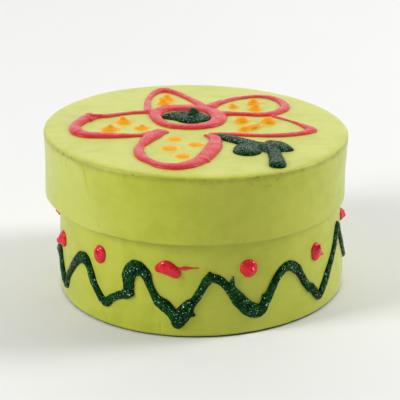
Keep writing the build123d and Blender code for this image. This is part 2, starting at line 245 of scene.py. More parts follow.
def paper_disc(name, cx, radius, z_low, z_top, segments, rings, shape, edge=0.1, sharp=35, visible_low=False):
    """A closed disc of paper with a rounded edge. shape(x, y, z, top) returns its moved points; top is 1 on the upper
    side. The upper side fills most of the map, or the lower side if that is the one seen."""
    rt = radius - edge
    fine, coarse = (12, rings) if visible_low else (rings, 12)
    rows = [(rt * k / fine, z_top, 1.0) for k in range(1, fine + 1)]
    for k in range(1, 4):
        t = math.pi / 2 * k / 3
        rows.append((rt + edge * math.sin(t), z_top - min(edge, 0.6 * (z_top - z_low)) * (1 - math.cos(t)), 1.0))
    top_rows = len(rows)
    rows.append((radius, z_low, 0.0))
    rows += [(rt * k / coarse, z_low, 0.0) for k in range(coarse, 0, -1)]
    rows = np.array(rows)
    m, n = segments, len(rows)
    a = np.linspace(0, 2 * math.pi, m, endpoint=False)
    A, R = np.meshgrid(a, rows[:, 0], indexing="ij")
    Z = np.broadcast_to(rows[:, 1], A.shape)
    T = np.broadcast_to(rows[:, 2], A.shape)
    X = np.append((R * np.sin(A)).ravel(), [0, 0])
    Y = np.append((-R * np.cos(A)).ravel(), [0, 0])
    Zf, Tf = np.append(Z.ravel(), [z_top, z_low]), np.append(T.ravel(), [1, 0])
    P = shape(X, Y, Zf, Tf)
    P[:, 0] += cx
    idx = np.arange(m * n).reshape(m, n)
    nxt = np.roll(idx, -1, 0)
    quads = np.stack([idx[:, :-1], idx[:, 1:], nxt[:, 1:], nxt[:, :-1]], -1).reshape(-1, 4)
    tri_top = np.stack([np.full(m, m * n), idx[:, 0], nxt[:, 0]], -1)
    tri_low = np.stack([np.full(m, m * n + 1), nxt[:, -1], idx[:, -1]], -1)
    big, small = (0.88, 0.39) if visible_low else (0.39, 0.88)
    spread = {True: 0.385 / (rt + 1.1), False: 0.10 / (rt + 1.1)}
    flat = rows[:, 0].copy()
    flat[fine if not visible_low else 12:top_rows] = rt + 0.3 * np.arange(1, top_rows - (12 if visible_low else fine) + 1)

    def place(j, ang):
        top = j < top_rows
        c = big if top else small
        rr = flat[j] * spread[top != visible_low]
        return np.stack([c + rr * np.sin(ang), c - rr * np.cos(ang)], -1)
    b = a + 2 * math.pi / m
    cells = []
    for j in range(n - 1):
        if j + 1 == top_rows:      # the narrow side: a strip of its own
            q = np.stack([np.stack([w / 7, np.full(m, v)], -1) for w, v in ((a, 0.985), (a, 0.975), (b, 0.975), (b, 0.985))], 1)
        else:
            q = np.stack([place(j, a), place(j + 1, a), place(j + 1, b), place(j, b)], 1)
        cells.append(q)
    uvq = np.stack(cells, 1).reshape(-1, 2)
    uvt = np.stack([np.full((m, 2), big), place(0, a), place(0, b)], 1).reshape(-1, 2)
    uvl = np.stack([np.full((m, 2), small), place(n - 1, b), place(n - 1, a)], 1).reshape(-1, 2)
    ob = make_mesh(name, P, [quads, tri_top, tri_low], np.concatenate([uvq, uvt, uvl]), sharp)
    return ob, X, Y, Zf, Tf


# ------------------------------------------------- level sets for relief paint
def surface_nets(F, around=False):
    """Quads on the zero level of F (negative inside). around joins the first axis end to end."""
    G = np.concatenate([F, F[:1]], 0) if around else F
    ins = G < 0
    cx, cy, cz = (d - 1 for d in G.shape)
    count = np.zeros((cx, cy, cz), np.int8)
    for i in (0, 1):
        for j in (0, 1):
            for k in (0, 1):
                count += ins[i:cx + i, j:cy + j, k:cz + k]
    mask = (count > 0) & (count < 8)
    cells = np.argwhere(mask)
    vid = np.full(mask.shape, -1, np.int64)
    vid[mask] = np.arange(len(cells))
    acc = np.zeros((len(cells), 3))
    num = np.zeros(len(cells))
    corner = {}
    for i in (0, 1):
        for j in (0, 1):
            for k in (0, 1):
                corner[(i, j, k)] = G[cells[:, 0] + i, cells[:, 1] + j, cells[:, 2] + k].astype(float)
    for c0 in corner:
        for ax in range(3):
            if c0[ax] == 0:
                c1 = list(c0)
                c1[ax] = 1
                v0, v1 = corner[c0], corner[tuple(c1)]
                hit = (v0 < 0) != (v1 < 0)
                t = np.where(hit, v0 / np.where(hit, v0 - v1, 1), 0)
                p = np.tile(np.array(c0, float), (len(cells), 1))
                p[:, ax] += t
                acc += np.where(hit[:, None], p, 0)
                num += hit
    verts = cells + acc / num[:, None]
    faces = []

    def take(i, j, k):
        return vid[i % cx if around else i, j, k]
    # along x
    i, j, k = np.nonzero(ins[:-1, 1:-1, 1:-1] != ins[1:, 1:-1, 1:-1])
    j, k = j + 1, k + 1
    q = np.stack([take(i, j - 1, k - 1), take(i, j, k - 1), take(i, j, k), take(i, j - 1, k)], -1)
    faces.append(np.where(ins[i, j, k][:, None], q, q[:, ::-1]))
    # along y
    lo = 0 if around else 1
    sub = ins[lo:cx if around else cx, :, 1:-1]
    i, j, k = np.nonzero(sub[:, :-1] != sub[:, 1:])
    i, k = i + lo, k + 1
    q = np.stack([take(i - 1, j, k - 1), take(i - 1, j, k), take(i, j, k), take(i, j, k - 1)], -1)
    faces.append(np.where(ins[i, j, k][:, None], q, q[:, ::-1]))
    # along z
    sub = ins[lo:cx, 1:-1, :]
    i, j, k = np.nonzero(sub[:, :, :-1] != sub[:, :, 1:])
    i, j = i + lo, j + 1
    q = np.stack([take(i - 1, j - 1, k), take(i, j - 1, k), take(i, j, k), take(i - 1, j, k)], -1)
    faces.append(np.where(ins[i, j, k][:, None], q, q[:, ::-1]))
    faces = np.concatenate(faces)
    faces = faces[(faces >= 0).all(1)]
    return verts, faces


def sample(F, p, around=False):
    """Trilinear value of F at grid points p."""
    hi = np.array(F.shape) - 1
    q = p.copy()
    if around:
        q[:, 0] = q[:, 0] % F.shape[0]
    i0 = np.floor(q).astype(int)
    i0[:, 1:] = np.clip(i0[:, 1:], 0, hi[1:] - 1)
    i0[:, 0] = i0[:, 0] % F.shape[0] if around else np.clip(i0[:, 0], 0, hi[0] - 1)
    f = q - i0
    out = 0.0
    for i in (0, 1):
        ii = (i0[:, 0] + i) % F.shape[0] if around else i0[:, 0] + i
        for j in (0, 1):
            for k in (0, 1):
                w = (f[:, 0] if i else 1 - f[:, 0]) * (f[:, 1] if j else 1 - f[:, 1]) * (f[:, 2] if k else 1 - f[:, 2])
                out = out + w * F[ii, i0[:, 1] + j, i0[:, 2] + k]
    return out


def relaxed(F, verts, faces, rounds=3, around=False):
    """Evens the net out and keeps it on the level set."""
    n = len(verts)
    edges = np.concatenate([faces[:, [0, 1]], faces[:, [1, 2]], faces[:, [2, 3]], faces[:, [3, 0]]])
    e = 0.5
    for _ in range(rounds):
        d = verts[edges[:, 1]] - verts[edges[:, 0]]
        if around:
            d[:, 0] = (d[:, 0] + F.shape[0] / 2) % F.shape[0] - F.shape[0] / 2
        acc = np.zeros_like(verts)
        num = np.bincount(edges[:, 0], minlength=n) + np.bincount(edges[:, 1], minlength=n)
        for ax in range(3):
            acc[:, ax] = (np.bincount(edges[:, 0], d[:, ax], n) - np.bincount(edges[:, 1], d[:, ax], n)) / num
        verts = verts + 0.6 * acc
        f = sample(F, verts, around)
        g = np.stack([(sample(F, verts + np.eye(3)[ax] * e, around) - sample(F, verts - np.eye(3)[ax] * e, around)) / (2 * e)
                      for ax in range(3)], -1)
        g2 = np.maximum((g ** 2).sum(1), 1e-4)
        move = -(f / g2)[:, None] * g
        verts = verts + np.clip(move, -0.6, 0.6)
    return verts


def catmull(path, per=None, spacing=0.35, closed=False):
    """Even samples on a smooth curve through the control rows; extra columns are carried along."""
    P = np.array(path, float)
    n = len(P)
    out = []
    for i in range(n if closed else n - 1):
        b = [P[(i + k) % n] if closed else P[min(max(i + k, 0), n - 1)] for k in (-1, 0, 1, 2)]
        steps = max(2, int(np.linalg.norm(b[2][:2] - b[1][:2]) / spacing))
        for s in range(steps):
            t = s / steps
            out.append(0.5 * (2 * b[1] + (b[2] - b[0]) * t + (2 * b[0] - 5 * b[1] + 4 * b[2] - b[3]) * t * t
                              + (3 * b[1] - b[0] - 3 * b[2] + b[3]) * t ** 3))
    if closed:
        out.append(out[0])
    else:
        out.append(P[-1])
    return np.array(out)


def line_field(X, Y, path, reach=1.6, wobble=0.0, seed=0, closed=False, turn=None):
    """For each plane point: distance over half width, half width and height of the nearest stretch of the line.
    path rows are x, y, width, height. turn is the length after which x repeats."""
    S = catmull(path, closed=closed)
    if wobble:
        along = np.concatenate([[0], np.cumsum(np.hypot(*np.diff(S[:, :2], axis=0).T))])
        w = 1 + wobble * fbm(along, 0, 0, 4.0, seed, 3)
        h = 1 + 0.8 * wobble * fbm(along, 9, 3, 5.0, seed + 5, 3)
        if closed:
            fade = step(0, 6, along) * step(0, 6, along[-1] - along)
            w, h = 1 + (w - 1) * fade, 1 + (h - 1) * fade
        S[:, 2] *= w
        S[:, 3] *= h
    Q = np.full(X.shape, 99.0)
    A = np.full(X.shape, 1.0)
    Hh = np.full(X.shape, 0.5)
    T = np.zeros(X.shape)
    x0, y0 = X[0, 0], Y[0, 0]
    dx, dy = X[1, 0] - X[0, 0], Y[0, 1] - Y[0, 0]
    nx, ny = X.shape
    along = 0.0
    for k in range(len(S) - 1):
        p, q = S[k], S[k + 1]
        seg = q[:2] - p[:2]
        L = float(np.hypot(*seg))
        pad = max(p[2], q[2]) / 2 + reach
        i0, i1 = int((min(p[0], q[0]) - pad - x0) / dx), int((max(p[0], q[0]) + pad - x0) / dx) + 2
        j0, j1 = max(0, int((min(p[1], q[1]) - pad - y0) / dy)), min(ny, int((max(p[1], q[1]) + pad - y0) / dy) + 2)
        if turn:
            ii = np.arange(i0, i1)
            xs = x0 + ii * dx
            ii = ii % nx
        else:
            i0, i1 = max(0, i0), min(nx, i1)
            ii = np.arange(i0, i1)
            xs = x0 + ii * dx
        if len(ii) == 0 or j1 <= j0:
            continue
        ys = y0 + np.arange(j0, j1) * dy
        gx, gy = np.meshgrid(xs, ys, indexing="ij")
        t = np.clip(((gx - p[0]) * seg[0] + (gy - p[1]) * seg[1]) / max(L * L, 1e-9), 0, 1)
        d = np.hypot(gx - p[0] - t * seg[0], gy - p[1] - t * seg[1])
        a = (p[2] + (q[2] - p[2]) * t) / 2
        h = p[3] + (q[3] - p[3]) * t
        qq = d / np.maximum(a, 0.05)
        sl = np.ix_(ii, np.arange(j0, j1))
        better = qq < Q[sl]
        Q[sl] = np.where(better, qq, Q[sl])
        A[sl] = np.where(better, a, A[sl])
        Hh[sl] = np.where(better, h, Hh[sl])
        T[sl] = np.where(better, along + t * L, T[sl])
        along += L
    return Q, A, Hh, T


def raised(Q, A, Hh, z, power=2.3):
    """Level set of a squeezed line: an oval section of half width A and height Hh."""
    zz = np.clip(z, 0, None)[None, None, :] / Hh[..., None]
    q = Q[..., None]
    rad = (q ** power + zz ** power) ** (1 / power)
    scale = (A[..., None] * q ** 2 + Hh[..., None] * zz ** 2) / (q ** 2 + zz ** 2 + 1e-6)
    return (rad - 1) * np.maximum(scale, 0.15)


def smin(a, b, k):
    h = np.clip(0.5 + 0.5 * (b - a) / k, 0, 1)
    return b * (1 - h) + a * h - k * h * (1 - h)


def capsule3(X, Y, Z, p, q, ra, rb):
    """Distance to a tapered rod from p to q."""
    p, q = np.array(p, float), np.array(q, float)
    d = q - p
    L2 = float(d @ d)
    t = np.clip(((X - p[0]) * d[0] + (Y - p[1]) * d[1] + (Z - p[2]) * d[2]) / L2, 0, 1)
    dist = np.sqrt((X - p[0] - t * d[0]) ** 2 + (Y - p[1] - t * d[1]) ** 2 + (Z - p[2] - t * d[2]) ** 2)
    return dist - (ra + (rb - ra) * t)


def tip_field(X, Y, Z, points):
    """A pulled-up tip through (x, y, z, radius) points."""
    f = None
    for p, q in zip(points[:-1], points[1:]):
        c = capsule3(X, Y, Z, p[:3], q[:3], p[3], q[3])
        f = c if f is None else np.minimum(f, c)
    return f


# ------------------------------------------------- how the hand-made surfaces wander
SEAM = ([29.0, 31.7, 40.0, 44.8, 48.2, 48.6], [-38.0, -39.0, -42.0, -43.2, -45.1, -45.5])


def degrees_front(A):
    return (np.degrees(A) + 180) % 360 - 180


def base_dr(A, Z):
    """How far the base's painted side stands out from its true cylinder, mm."""
    x, y = 42 * np.sin(A), -42 * np.cos(A)
    under_lid = step(28.6, 31.5, Z)
    d = 0.085 * noise(x, y, Z, 13, 3) + 0.035 * fbm(x, y, Z, 3.4, 8, 3)
    d = d + 0.07 * step(2.2, 0.3, Z) * noise(x, y, 0, 2.6, 21)
    deg = degrees_front(A)
    for at, lo, hi, deep in ((-38.7, 0.6, 2.8, 0.16), (-15.3, 1.2, 4.2, 0.13), (64.0, 0.5, 2.4, 0.12), (171.0, 0.5, 3.3, 0.14)):
        d = d - deep * bump((deg - at) * 0.742, 0.12 * np.sin(Z * 1.7), 0.34) * step(lo - 0.8, lo + 0.3, Z) * step(hi + 0.6, hi - 0.5, Z)
    # the paper strip's overlap at the back, painted over
    sd = (deg - 147 - 0.04 * Z + 180) % 360 - 180
    sd = sd * 0.742
    d = d + 0.14 * np.where(sd < 0, np.exp(sd / 4.0), 0) * step(0.14, -0.14, sd)
    return np.where(Z > 0.6, d, d * 0.6) * (1 - 0.75 * under_lid)


def lid_dr(A, Z):
    x, y = 45 * np.sin(A), -45 * np.cos(A)
    deg = degrees_front(A)
    d = 0.085 * noise(x, y, Z, 12, 31) + 0.03 * fbm(x, y, Z, 3.0, 37, 3)
    # wrinkles where the paper was pulled over the rim
    puckers = fbm(x * 1.9, y * 1.9, Z * 0.75, 1.5, 41, 2)
    here = 0.35 + 0.65 * (bump(deg, 20, 18) + bump(deg, 150, 40) + 0.8 * bump(deg, -110, 25))
    d = d + 0.085 * puckers * step(43.6, 47.0, Z) * np.clip(here, 0, 1)
    d = d - 0.05 * bump(Z, 47.3, 0.5) * (0.6 + 0.4 * noise(x, y, 0, 5, 43))
    # strip overlap: the left end lies over the right one and fades out towards the lip
    line = np.interp(Z, *SEAM)
    sd = (deg - line) * 0.785
    lift = 0.22 * step(33.0, 45.0, Z)
    d = d + lift * np.where(sd < 0, np.exp(sd / 5.0), 1) * step(0.55, -0.35, sd)
    # faint edge of a second panel on the right, and a small lump by it
    sd2 = (deg - 69.0) * 0.785
    d = d + 0.05 * np.where(sd2 > 0, np.exp(-sd2 / 3.0), 0) * step(-0.3, 0.3, sd2) * step(38, 44, Z)
    d = d + 0.16 * bump(sd2, -6.5, 0.8) * bump(Z, 46.9, 0.6)
    # knock on the rim by the seam
    d = d - 0.16 * bump((deg + 41.0) * 0.785, 0, 1.4) * step(47.3, 48.6, Z)
    return d


def lip_dz(A):
    x, y = 45 * np.sin(A), -45 * np.cos(A)
    return 0.16 * noise(x, y, 0, 9, 51) + 0.07 * noise(x, y, 0, 2.5, 53) + 0.3 * bump(degrees_front(A), -67, 15) \
        - 0.4 * bump(degrees_front(A), 0, 60)


def top_dz(x, y):
    r = np.hypot(x, y)
    d = 0.075 * noise(x, y, 0, 17, 61) + 0.03 * noise(x, y, 0, 5, 63) + 0.012 * noise(x * 0.35, y * 1.6, 0, 2.0, 65)
    d = d - (0.15 + 0.03 * noise(x, y, 0, 4, 67)) * step(42.4, 44.3, r)
    deg = np.degrees(np.arctan2(x, -y))
    d = d - 0.22 * bump((deg + 41.0) * 0.785, 0, 1.5) * step(43.0, 44.6, r)
    return d


# --------------------------------------------------------------- painted paper
def ring_angles(n, extra=()):
    a = np.linspace(0, 2 * math.pi, n, endpoint=False)
    add = []
    for deg, half, gap in extra:
        add.append(np.radians(np.arange(deg - half, deg + half + 1e-6, gap)) % (2 * math.pi))
    if add:
        add = np.concatenate(add)
        keep = np.ones(n, bool)
        for deg, half, gap in extra:
            keep &= np.abs((np.degrees(a) - deg + 180) % 360 - 180) > half
        a = np.sort(np.concatenate([a[keep], add]))
    return a


def on_ring(A, R, Z):
    return np.stack([R * np.sin(A), -R * np.cos(A), Z], -1)


def base_shape(A, R, Z, K):
    out = np.isin(K, ("out", "foot", "mouth"))
    dr = base_dr(A, Z)
    x, y = R * np.sin(A), -R * np.cos(A)
    R2 = R + np.where(out & (R > 41.6), np.clip(dr, -0.13, 0.4), 0)
    Z2 = Z + np.where((K == "out") & (Z < 2.5), 0.06 * noise(x, y, 0, 3.1, 71) * step(2.5, 0.2, Z), 0)
    # the hem turned inside ends raggedly and isn't quite flat
    hem = (K == "hem") | (K == "hem_end")
    ragged = step(43.5, 41.9, Z)
    Z2 = Z2 + np.where(hem, ragged * (0.35 * noise(x, y, 0, 3.3, 73) + 0.15 * noise(x, y, 0, 1.2, 75)), 0)
    R2 = R2 - np.where(hem & (R < 40.9), 0.05 * (0.5 + 0.5 * fbm(x, y, Z, 2.6, 77)) * step(46.6, 45.0, Z), 0)
    # a slightly uneven mouth, kept below the lid's inside
    Z2 = Z2 - np.where(Z > 46.75, 0.07 * (0.5 + 0.5 * noise(x, y, 0, 4.5, 79)), 0)
    return base_warp(on_ring(A, R2, Z2))


def lid_shape(A, R, Z, K):
    outer = np.isin(K, ("out", "hem_top", "lip")) | ((K == "hid") & (Z > 45.0))
    dr = lid_dr(A, Z)
    x, y = R * np.sin(A), -R * np.cos(A)
    R2 = R + np.where((K == "out") | ((K == "hem_top") & (R > 44.2)), np.clip(dr, -0.12, 0.4), 0)
    Z2 = Z + step(36, 29.3, Z) * lip_dz(A)
    inside = (K == "hem") | (K == "hem_end")
    Z2 = Z2 + np.where(inside, step(31.5, 33.4, Z) * (0.35 * noise(x, y, 0, 3.1, 83) + 0.15 * noise(x, y, 0, 1.1, 85)), 0)
    P = on_ring(A, R2, Z2)
    Q = P.copy()
    Q[..., 0] += LX
    Q = lid_warp(Q, outer)
    Q[..., 0] -= LX
    return Q


base_angles = ring_angles(612, [(147, 3, 0.15), (-38.7, 1.8, 0.2), (-15.3, 1.8, 0.2)])
base_side, bA, bR, bZ, bK = turned_skin(
    "base_side_skin",
    [(37.0, 0.2, 0, "foot"), (42.5, 0.2, 0.42, "out"), (42.5, 30.5, 0, "out2"), (42.5, 46.9, 0.5, "mouth"),
     (40.8, 46.9, 0.5, "hem"), (40.8, 41.9, 0, "hem_end"), (41.0, 41.9, 0, "hid"), (41.0, 46.7, 0, "hid"),
     (42.3, 46.7, 0, "hid"), (42.3, 0.4, 0, "hid")],
    {"foot": 0.6, "out": 0.42, "out2": 0.7, "mouth": 0.15, "hem": 0.35, "hem_end": 0.2, "hid": 3.0},
    base_angles, 0.0, lambda A, R, Z, K: base_shape(A, R, Z, np.where(K == "out2", "out", K)))
# how many mm inside the painted area each point is: outside and mouth painted, a ragged end inside and underneath
paint = np.where(bR > 41.6, 9.0, np.where(bK == "hem", bZ - 43.9, np.where(bK == "mouth", 9.0, -9.0)))
paint = np.where((bZ < 0.3) & (bR < 42.3), bR - 39.0, paint)
mark(base_side, "painted", paint)
bdeg = degrees_front(bA)
# painted shade: a dark band round the foot where it meets the floor and a band just under the lid's lip; also a small
# dark streak low on the right
mark(base_side, "shade_and_dirt", np.clip(1.3 * step(0.8, 0.4, bZ) * (bR > 39) + 0.3 * bump(bZ, 29.6, 1.0)
                                 + 0.7 * bump((bdeg - 83.0) * 0.742, 0.3 * np.sin(bZ * 2), 0.35) * bump(bZ, 1.7, 1.0), 0, 1))

lid_angles = ring_angles(612, [(-42.0, 6.5, 0.14), (69, 2.5, 0.2)])


def lid_skin_shape(A, R, Z, K):
    """Columns near the overlap follow its slant, so that its edge stays clean."""
    deg = degrees_front(A)
    near = bump(deg, -42.0, 9.0)
    shift = (np.interp(Z, *SEAM) + 42.0) * near
    return lid_shape(A + np.radians(shift), R, Z, K)


lid_side, lA, lR, lZ, lK = turned_skin(
    "lid_side_skin",
    [(40.8, 48.5, 0, "hem_top"), (45.0, 48.5, 1.2, "out"), (45.0, 29.2, 0.28, "lip"), (43.9, 29.2, 0.28, "hem"),
     (43.9, 33.4, 0, "hem_end"), (44.05, 33.4, 0, "hid"), (44.05, 29.4, 0, "hid"), (44.8, 29.4, 0, "hid"),
     (44.8, 48.3, 1.0, "hid"), (40.8, 48.3, 0, "hid")],
    {"hem_top": 0.7, "out": 0.36, "lip": 0.2, "hem": 0.35, "hem_end": 0.2, "hid": 3.0}, lid_angles, LX,
    lid_skin_shape)
paint = np.where((lR > 43.95) | ((lK == "hem_top") & (lR > 42.5)), 9.0, np.where(lK == "hem", 31.3 - lZ, np.where(lK == "lip", 9.0, -9.0)))
paint = np.where((lK == "hid"), -9.0, paint)
mark(lid_side, "painted", paint)
ldeg = degrees_front(lA)
lseam = (ldeg - np.interp(lZ, *SEAM)) * 0.785
lx_, ly_ = 45 * np.sin(lA), 45 * np.cos(lA)
# painted shade: a darker band just under the rim, mottled darker patches where the paper puckers below it, and a line
# along the seam's step
under_rim_shade = bump(lZ, 47.4 + 0.25 * noise(lx_, ly_, 0, 5, 88), 0.8) * np.clip(0.45 + 0.55 * fbm(lx_, ly_, lZ, 1.6, 87, 2), 0, 1)
pucker_shade = step(0.25, 0.7, fbm(lx_, ly_, lZ, 1.0, 89, 2)) * step(44.0, 45.8, lZ) * (bump(ldeg, 27, 20) + 0.6 * bump(ldeg, -57, 12))
shade_and_dirt = 0.42 * under_rim_shade + 0.42 * pucker_shade + 0.12 * bump(lseam, -0.5, 0.45) * step(43, 46, lZ)
# dark specks of dirt round the rim and by the lip
for at, z, w, much in ((-60.3, 48.2, 0.35, 0.5), (-55.4, 48.1, 0.38, 0.6), (-48.5, 48.0, 0.35, 0.5), (-22.5, 47.9, 0.34, 0.75),
                       (3.1, 48.2, 0.3, 0.75), (12.1, 48.3, 0.26, 0.5), (18.5, 46.5, 0.22, 0.9), (22.2, 47.0, 0.26, 0.5),
                       (29.3, 46.5, 0.42, 0.5), (36.5, 47.2, 0.3, 0.45), (49.9, 47.3, 0.28, 0.5), (70.0, 44.3, 0.22, 0.7),
                       (-39.6, 31.2, 0.22, 0.8), (17.8, 29.9, 0.22, 0.6), (-75.0, 36.0, 0.22, 0.5)):
    shade_and_dirt = shade_and_dirt + much * bump((ldeg - at) * 0.785, 0, w) * bump(lZ, z, w)
# painted shade: a further band under the rim's round, deeper towards the left front, and a faint line along the lip's
# edge
shade_and_dirt = shade_and_dirt * (lR > 44.5) + (0.13 + 0.10 * step(-25, -45, ldeg)) * bump(lZ, 47.75, 0.6) * (lR > 44.0) \
    + 0.08 * bump(lZ, 29.2, 0.35)
mark(lid_side, "shade_and_dirt", np.clip(shade_and_dirt, 0, 1))
scuff = 0.8 * bump((ldeg + 38.9) * 0.785, 0, 1.0) * bump(lZ, 48.35, 0.5) * (lR > 43.5)
mark(lid_side, "scuff", np.clip(scuff, 0, 1))
# painted light: left of the seam, and a little to its right, the lid's side is mixed towards a pale lime that stands in
# for the sheen of the light there
soft_ = 0.6 + 5.5 * step(45, 33, lZ)
over = step(1.0, -1.0, lseam / soft_)
pale = over * (1 - 0.45 * step(-3, -22, lseam)) + 0.45 * (1 - over) * step(14, 0, lseam)
mark(lid_side, "pale", np.clip(pale, 0, 1) * step(-110, -80, ldeg) * (lR > 43.9))


def lid_top_points(x, y, z, t):
    r = np.hypot(x, y)
    ragged = 0.10 * noise(x, y, 0, 2.2, 91) + 0.12 * noise(x, y, 0, 6.5, 93)
    s = 1 + ragged / 44.2 * step(41, 44.1, r)
    z2 = z + np.where(t > 0.5, top_dz(x, y), 0.02 * noise(x, y, 0, 6, 95))
    z2 = np.where(t > 0.5, np.maximum(z2, 48.525), z2)
    over = np.clip(r * s - 43.8, 0, 1.1)
    z2 = z2 - (1.2 - np.sqrt(1.44 - over ** 2))
    s = s + np.clip(lid_dr(np.arctan2(x, -y), np.full(x.shape, 48.2)), -0.12, 0.4) / 44.5 * step(43.2, 44.2, r)
    P = np.stack([x * s, y * s, z2], -1)
    Q = P.copy()
    Q[..., 0] += LX
    Q = lid_warp(Q, True)
    Q[..., 0] -= LX
    return Q


lid_top, tX, tY, tZ, tT = paper_disc("lid_top_skin", LX, 44.6, 48.44, 48.7, 640, 106, lid_top_points, edge=0.16)
tr = np.hypot(tX, tY)
tdeg = np.degrees(np.arctan2(tX, -tY))
mark(lid_top, "painted", np.where((tT > 0.5) | (tr > 43.4), 9.0, -9.0))
# painted shade: a faint darkening at the disc's edge
shade_and_dirt = 0.05 * bump(tr, 44.7, 0.5)
mark(lid_top, "shade_and_dirt", np.clip(shade_and_dirt, 0, 1))
scuff = 0.35 * bump(tX + 37.0, 0, 3.6) * bump(tY - 5.0, 0, 8.0) * step(-0.3, 0.5, noise(tX, tY, 0, 2.6, 97))
mark(lid_top, "scuff", np.clip(scuff, 0, 1) * (tT > 0.5))


def flat_paper(seed, amount, limit_top=None):
    def shape(x, y, z, t):
        z2 = z + amount * noise(x, y, 0, 9, seed) * (t if limit_top is None else (1 - t))
        return np.stack([x, y, z2], -1)
    return shape


def bottom_points(x, y, z, t):
    r = np.hypot(x, y)
    s = 1 + (0.25 * noise(x, y, 0, 5, 101) + 0.1 * noise(x, y, 0, 1.7, 103)) / 40.5 * step(36, 40, r)
    z2 = z + np.where(t < 0.5, 0.03 * (0.5 + 0.5 * noise(x, y, 0, 10, 105)), 0)
    return base_warp(np.stack([x * s, y * s, z2], -1))


base_bottom, uX, uY, uZ, uT = paper_disc("base_bottom_skin", 0.0, 40.45, 0.0, 0.19, 420, 70, bottom_points, edge=0.1, visible_low=True)
mark(base_bottom, "painted", np.hypot(uX, uY) - 38.7 + 0.9 * noise(uX, uY, 0, 9, 107))
# darker towards the disc's rim
mark(base_bottom, "shade_and_dirt", 0.5 * bump(np.hypot(uX, uY), 40.4, 0.5))


def floor_points(x, y, z, t):
    r = np.hypot(x, y)
    z2 = z + t * (0.05 * noise(x, y, 0, 14, 111) + 0.02 * noise(x, y, 0, 4, 113) - 0.06 * step(39.6, 40.8, r))
    return base_warp(np.stack([x, y, z2], -1))


base_floor_lining, fX, fY, fZ, fT = paper_disc("base_floor_lining_skin", 0.0, 40.9, 1.62, 1.8, 360, 60, floor_points, edge=0.08)


def ceiling_points(x, y, z, t):
    r = np.hypot(x, y)
    z2 = z + (1 - t) * (0.05 * (0.5 + 0.5 * noise(x, y, 0, 14, 115)) + 0.03 * (0.5 + 0.5 * noise(x, y, 0, 4, 117)))
    P = np.stack([x + LX, y, z2], -1)
    P = lid_warp(P, False)
    P[..., 0] -= LX
    return P


lid_top_lining, cX, cY, cZ, cT = paper_disc("lid_top_lining_skin", LX, 43.95, 46.9, 47.08, 360, 60, ceiling_points, edge=0.08, visible_low=True)


def lining(name, r_in, r_out, z0, z1, cx, seam_deg, seed, warp):
    """A strip of paper inside a ring, its ends overlapping at one place."""
    def shape(A, R, Z, K):
        deg = degrees_front(A)
        x, y = R * np.sin(A), -R * np.cos(A)
        sd = ((deg - seam_deg - 0.03 * (Z - z0) + 180) % 360 - 180) * 0.72
        inner = K == "in"
        d = 0.035 * (0.5 + 0.5 * noise(x, y, Z, 9, seed)) + 0.02 * (0.5 + 0.5 * fbm(x, y, Z, 3, seed + 2, 2))
        d = d + 0.09 * np.where(sd < 0, np.exp(sd / 6.0), 0) * step(0.14, -0.14, sd)
        R2 = R - np.where(inner, d * (1 if not warp else 0.8), 0)
        P = on_ring(A, R2, Z)
        if not warp:
            return base_warp(P)
        P[..., 0] += cx
        P = lid_warp(P, False)
        P[..., 0] -= cx
        return P
    return turned_skin(name, [(r_in, z0, 0, "low"), (r_out, z0, 0, "hid"), (r_out, z1, 0, "top"), (r_in, z1, 0, "in")],
                       {"low": 1.0, "hid": 6.0, "top": 1.0, "in": 0.7}, ring_angles(420, [(seam_deg, 3, 0.15)]), cx, shape)[0]


wall_lining = lining("base_wall_lining_skin", 40.8, 40.98, 1.8, 42.1, 0.0, -20.0, 121, False)
rim_lining = lining("lid_rim_lining_skin", 43.9, 44.04, 33.2, 46.9, LX, 35.0, 131, True)


def board_shape(A, R, Z, K):
    P = on_ring(A, R, Z)
    P[..., 0] += LX
    P = lid_warp(P, False)
    P[..., 0] -= LX
    return P


rim_board = turned_skin("lid_rim_board", [(44.05, 29.4, 0, "a"), (44.75, 29.4, 0, "a"), (44.75, 47.0, 0.5, "a"), (44.05, 47.0, 0, "a")],
                        2.0, ring_angles(240), LX, board_shape)[0]
top_board = paper_disc("lid_top_board", LX, 44.15, 47.1, 48.3, 240, 8,
                       lambda x, y, z, t: lid_warp(np.stack([x + LX, y, z], -1), False) - np.array([LX, 0, 0]), edge=0.55)[0]


wall_board = turned_skin("base_wall_board", [(41.0, 1.6, 0, "a"), (42.3, 1.6, 0, "a"), (42.3, 46.7, 0, "a"), (41.0, 46.7, 0, "a")],
                         2.0, ring_angles(240), 0.0, lambda A, R, Z, K: base_warp(on_ring(A, R, Z)))[0]
floor_board = paper_disc("base_floor_board", 0.0, 42.3, 0.4, 1.6, 240, 8,
                         lambda x, y, z, t: base_warp(np.stack([x, y, z], -1)), edge=0.05)[0]


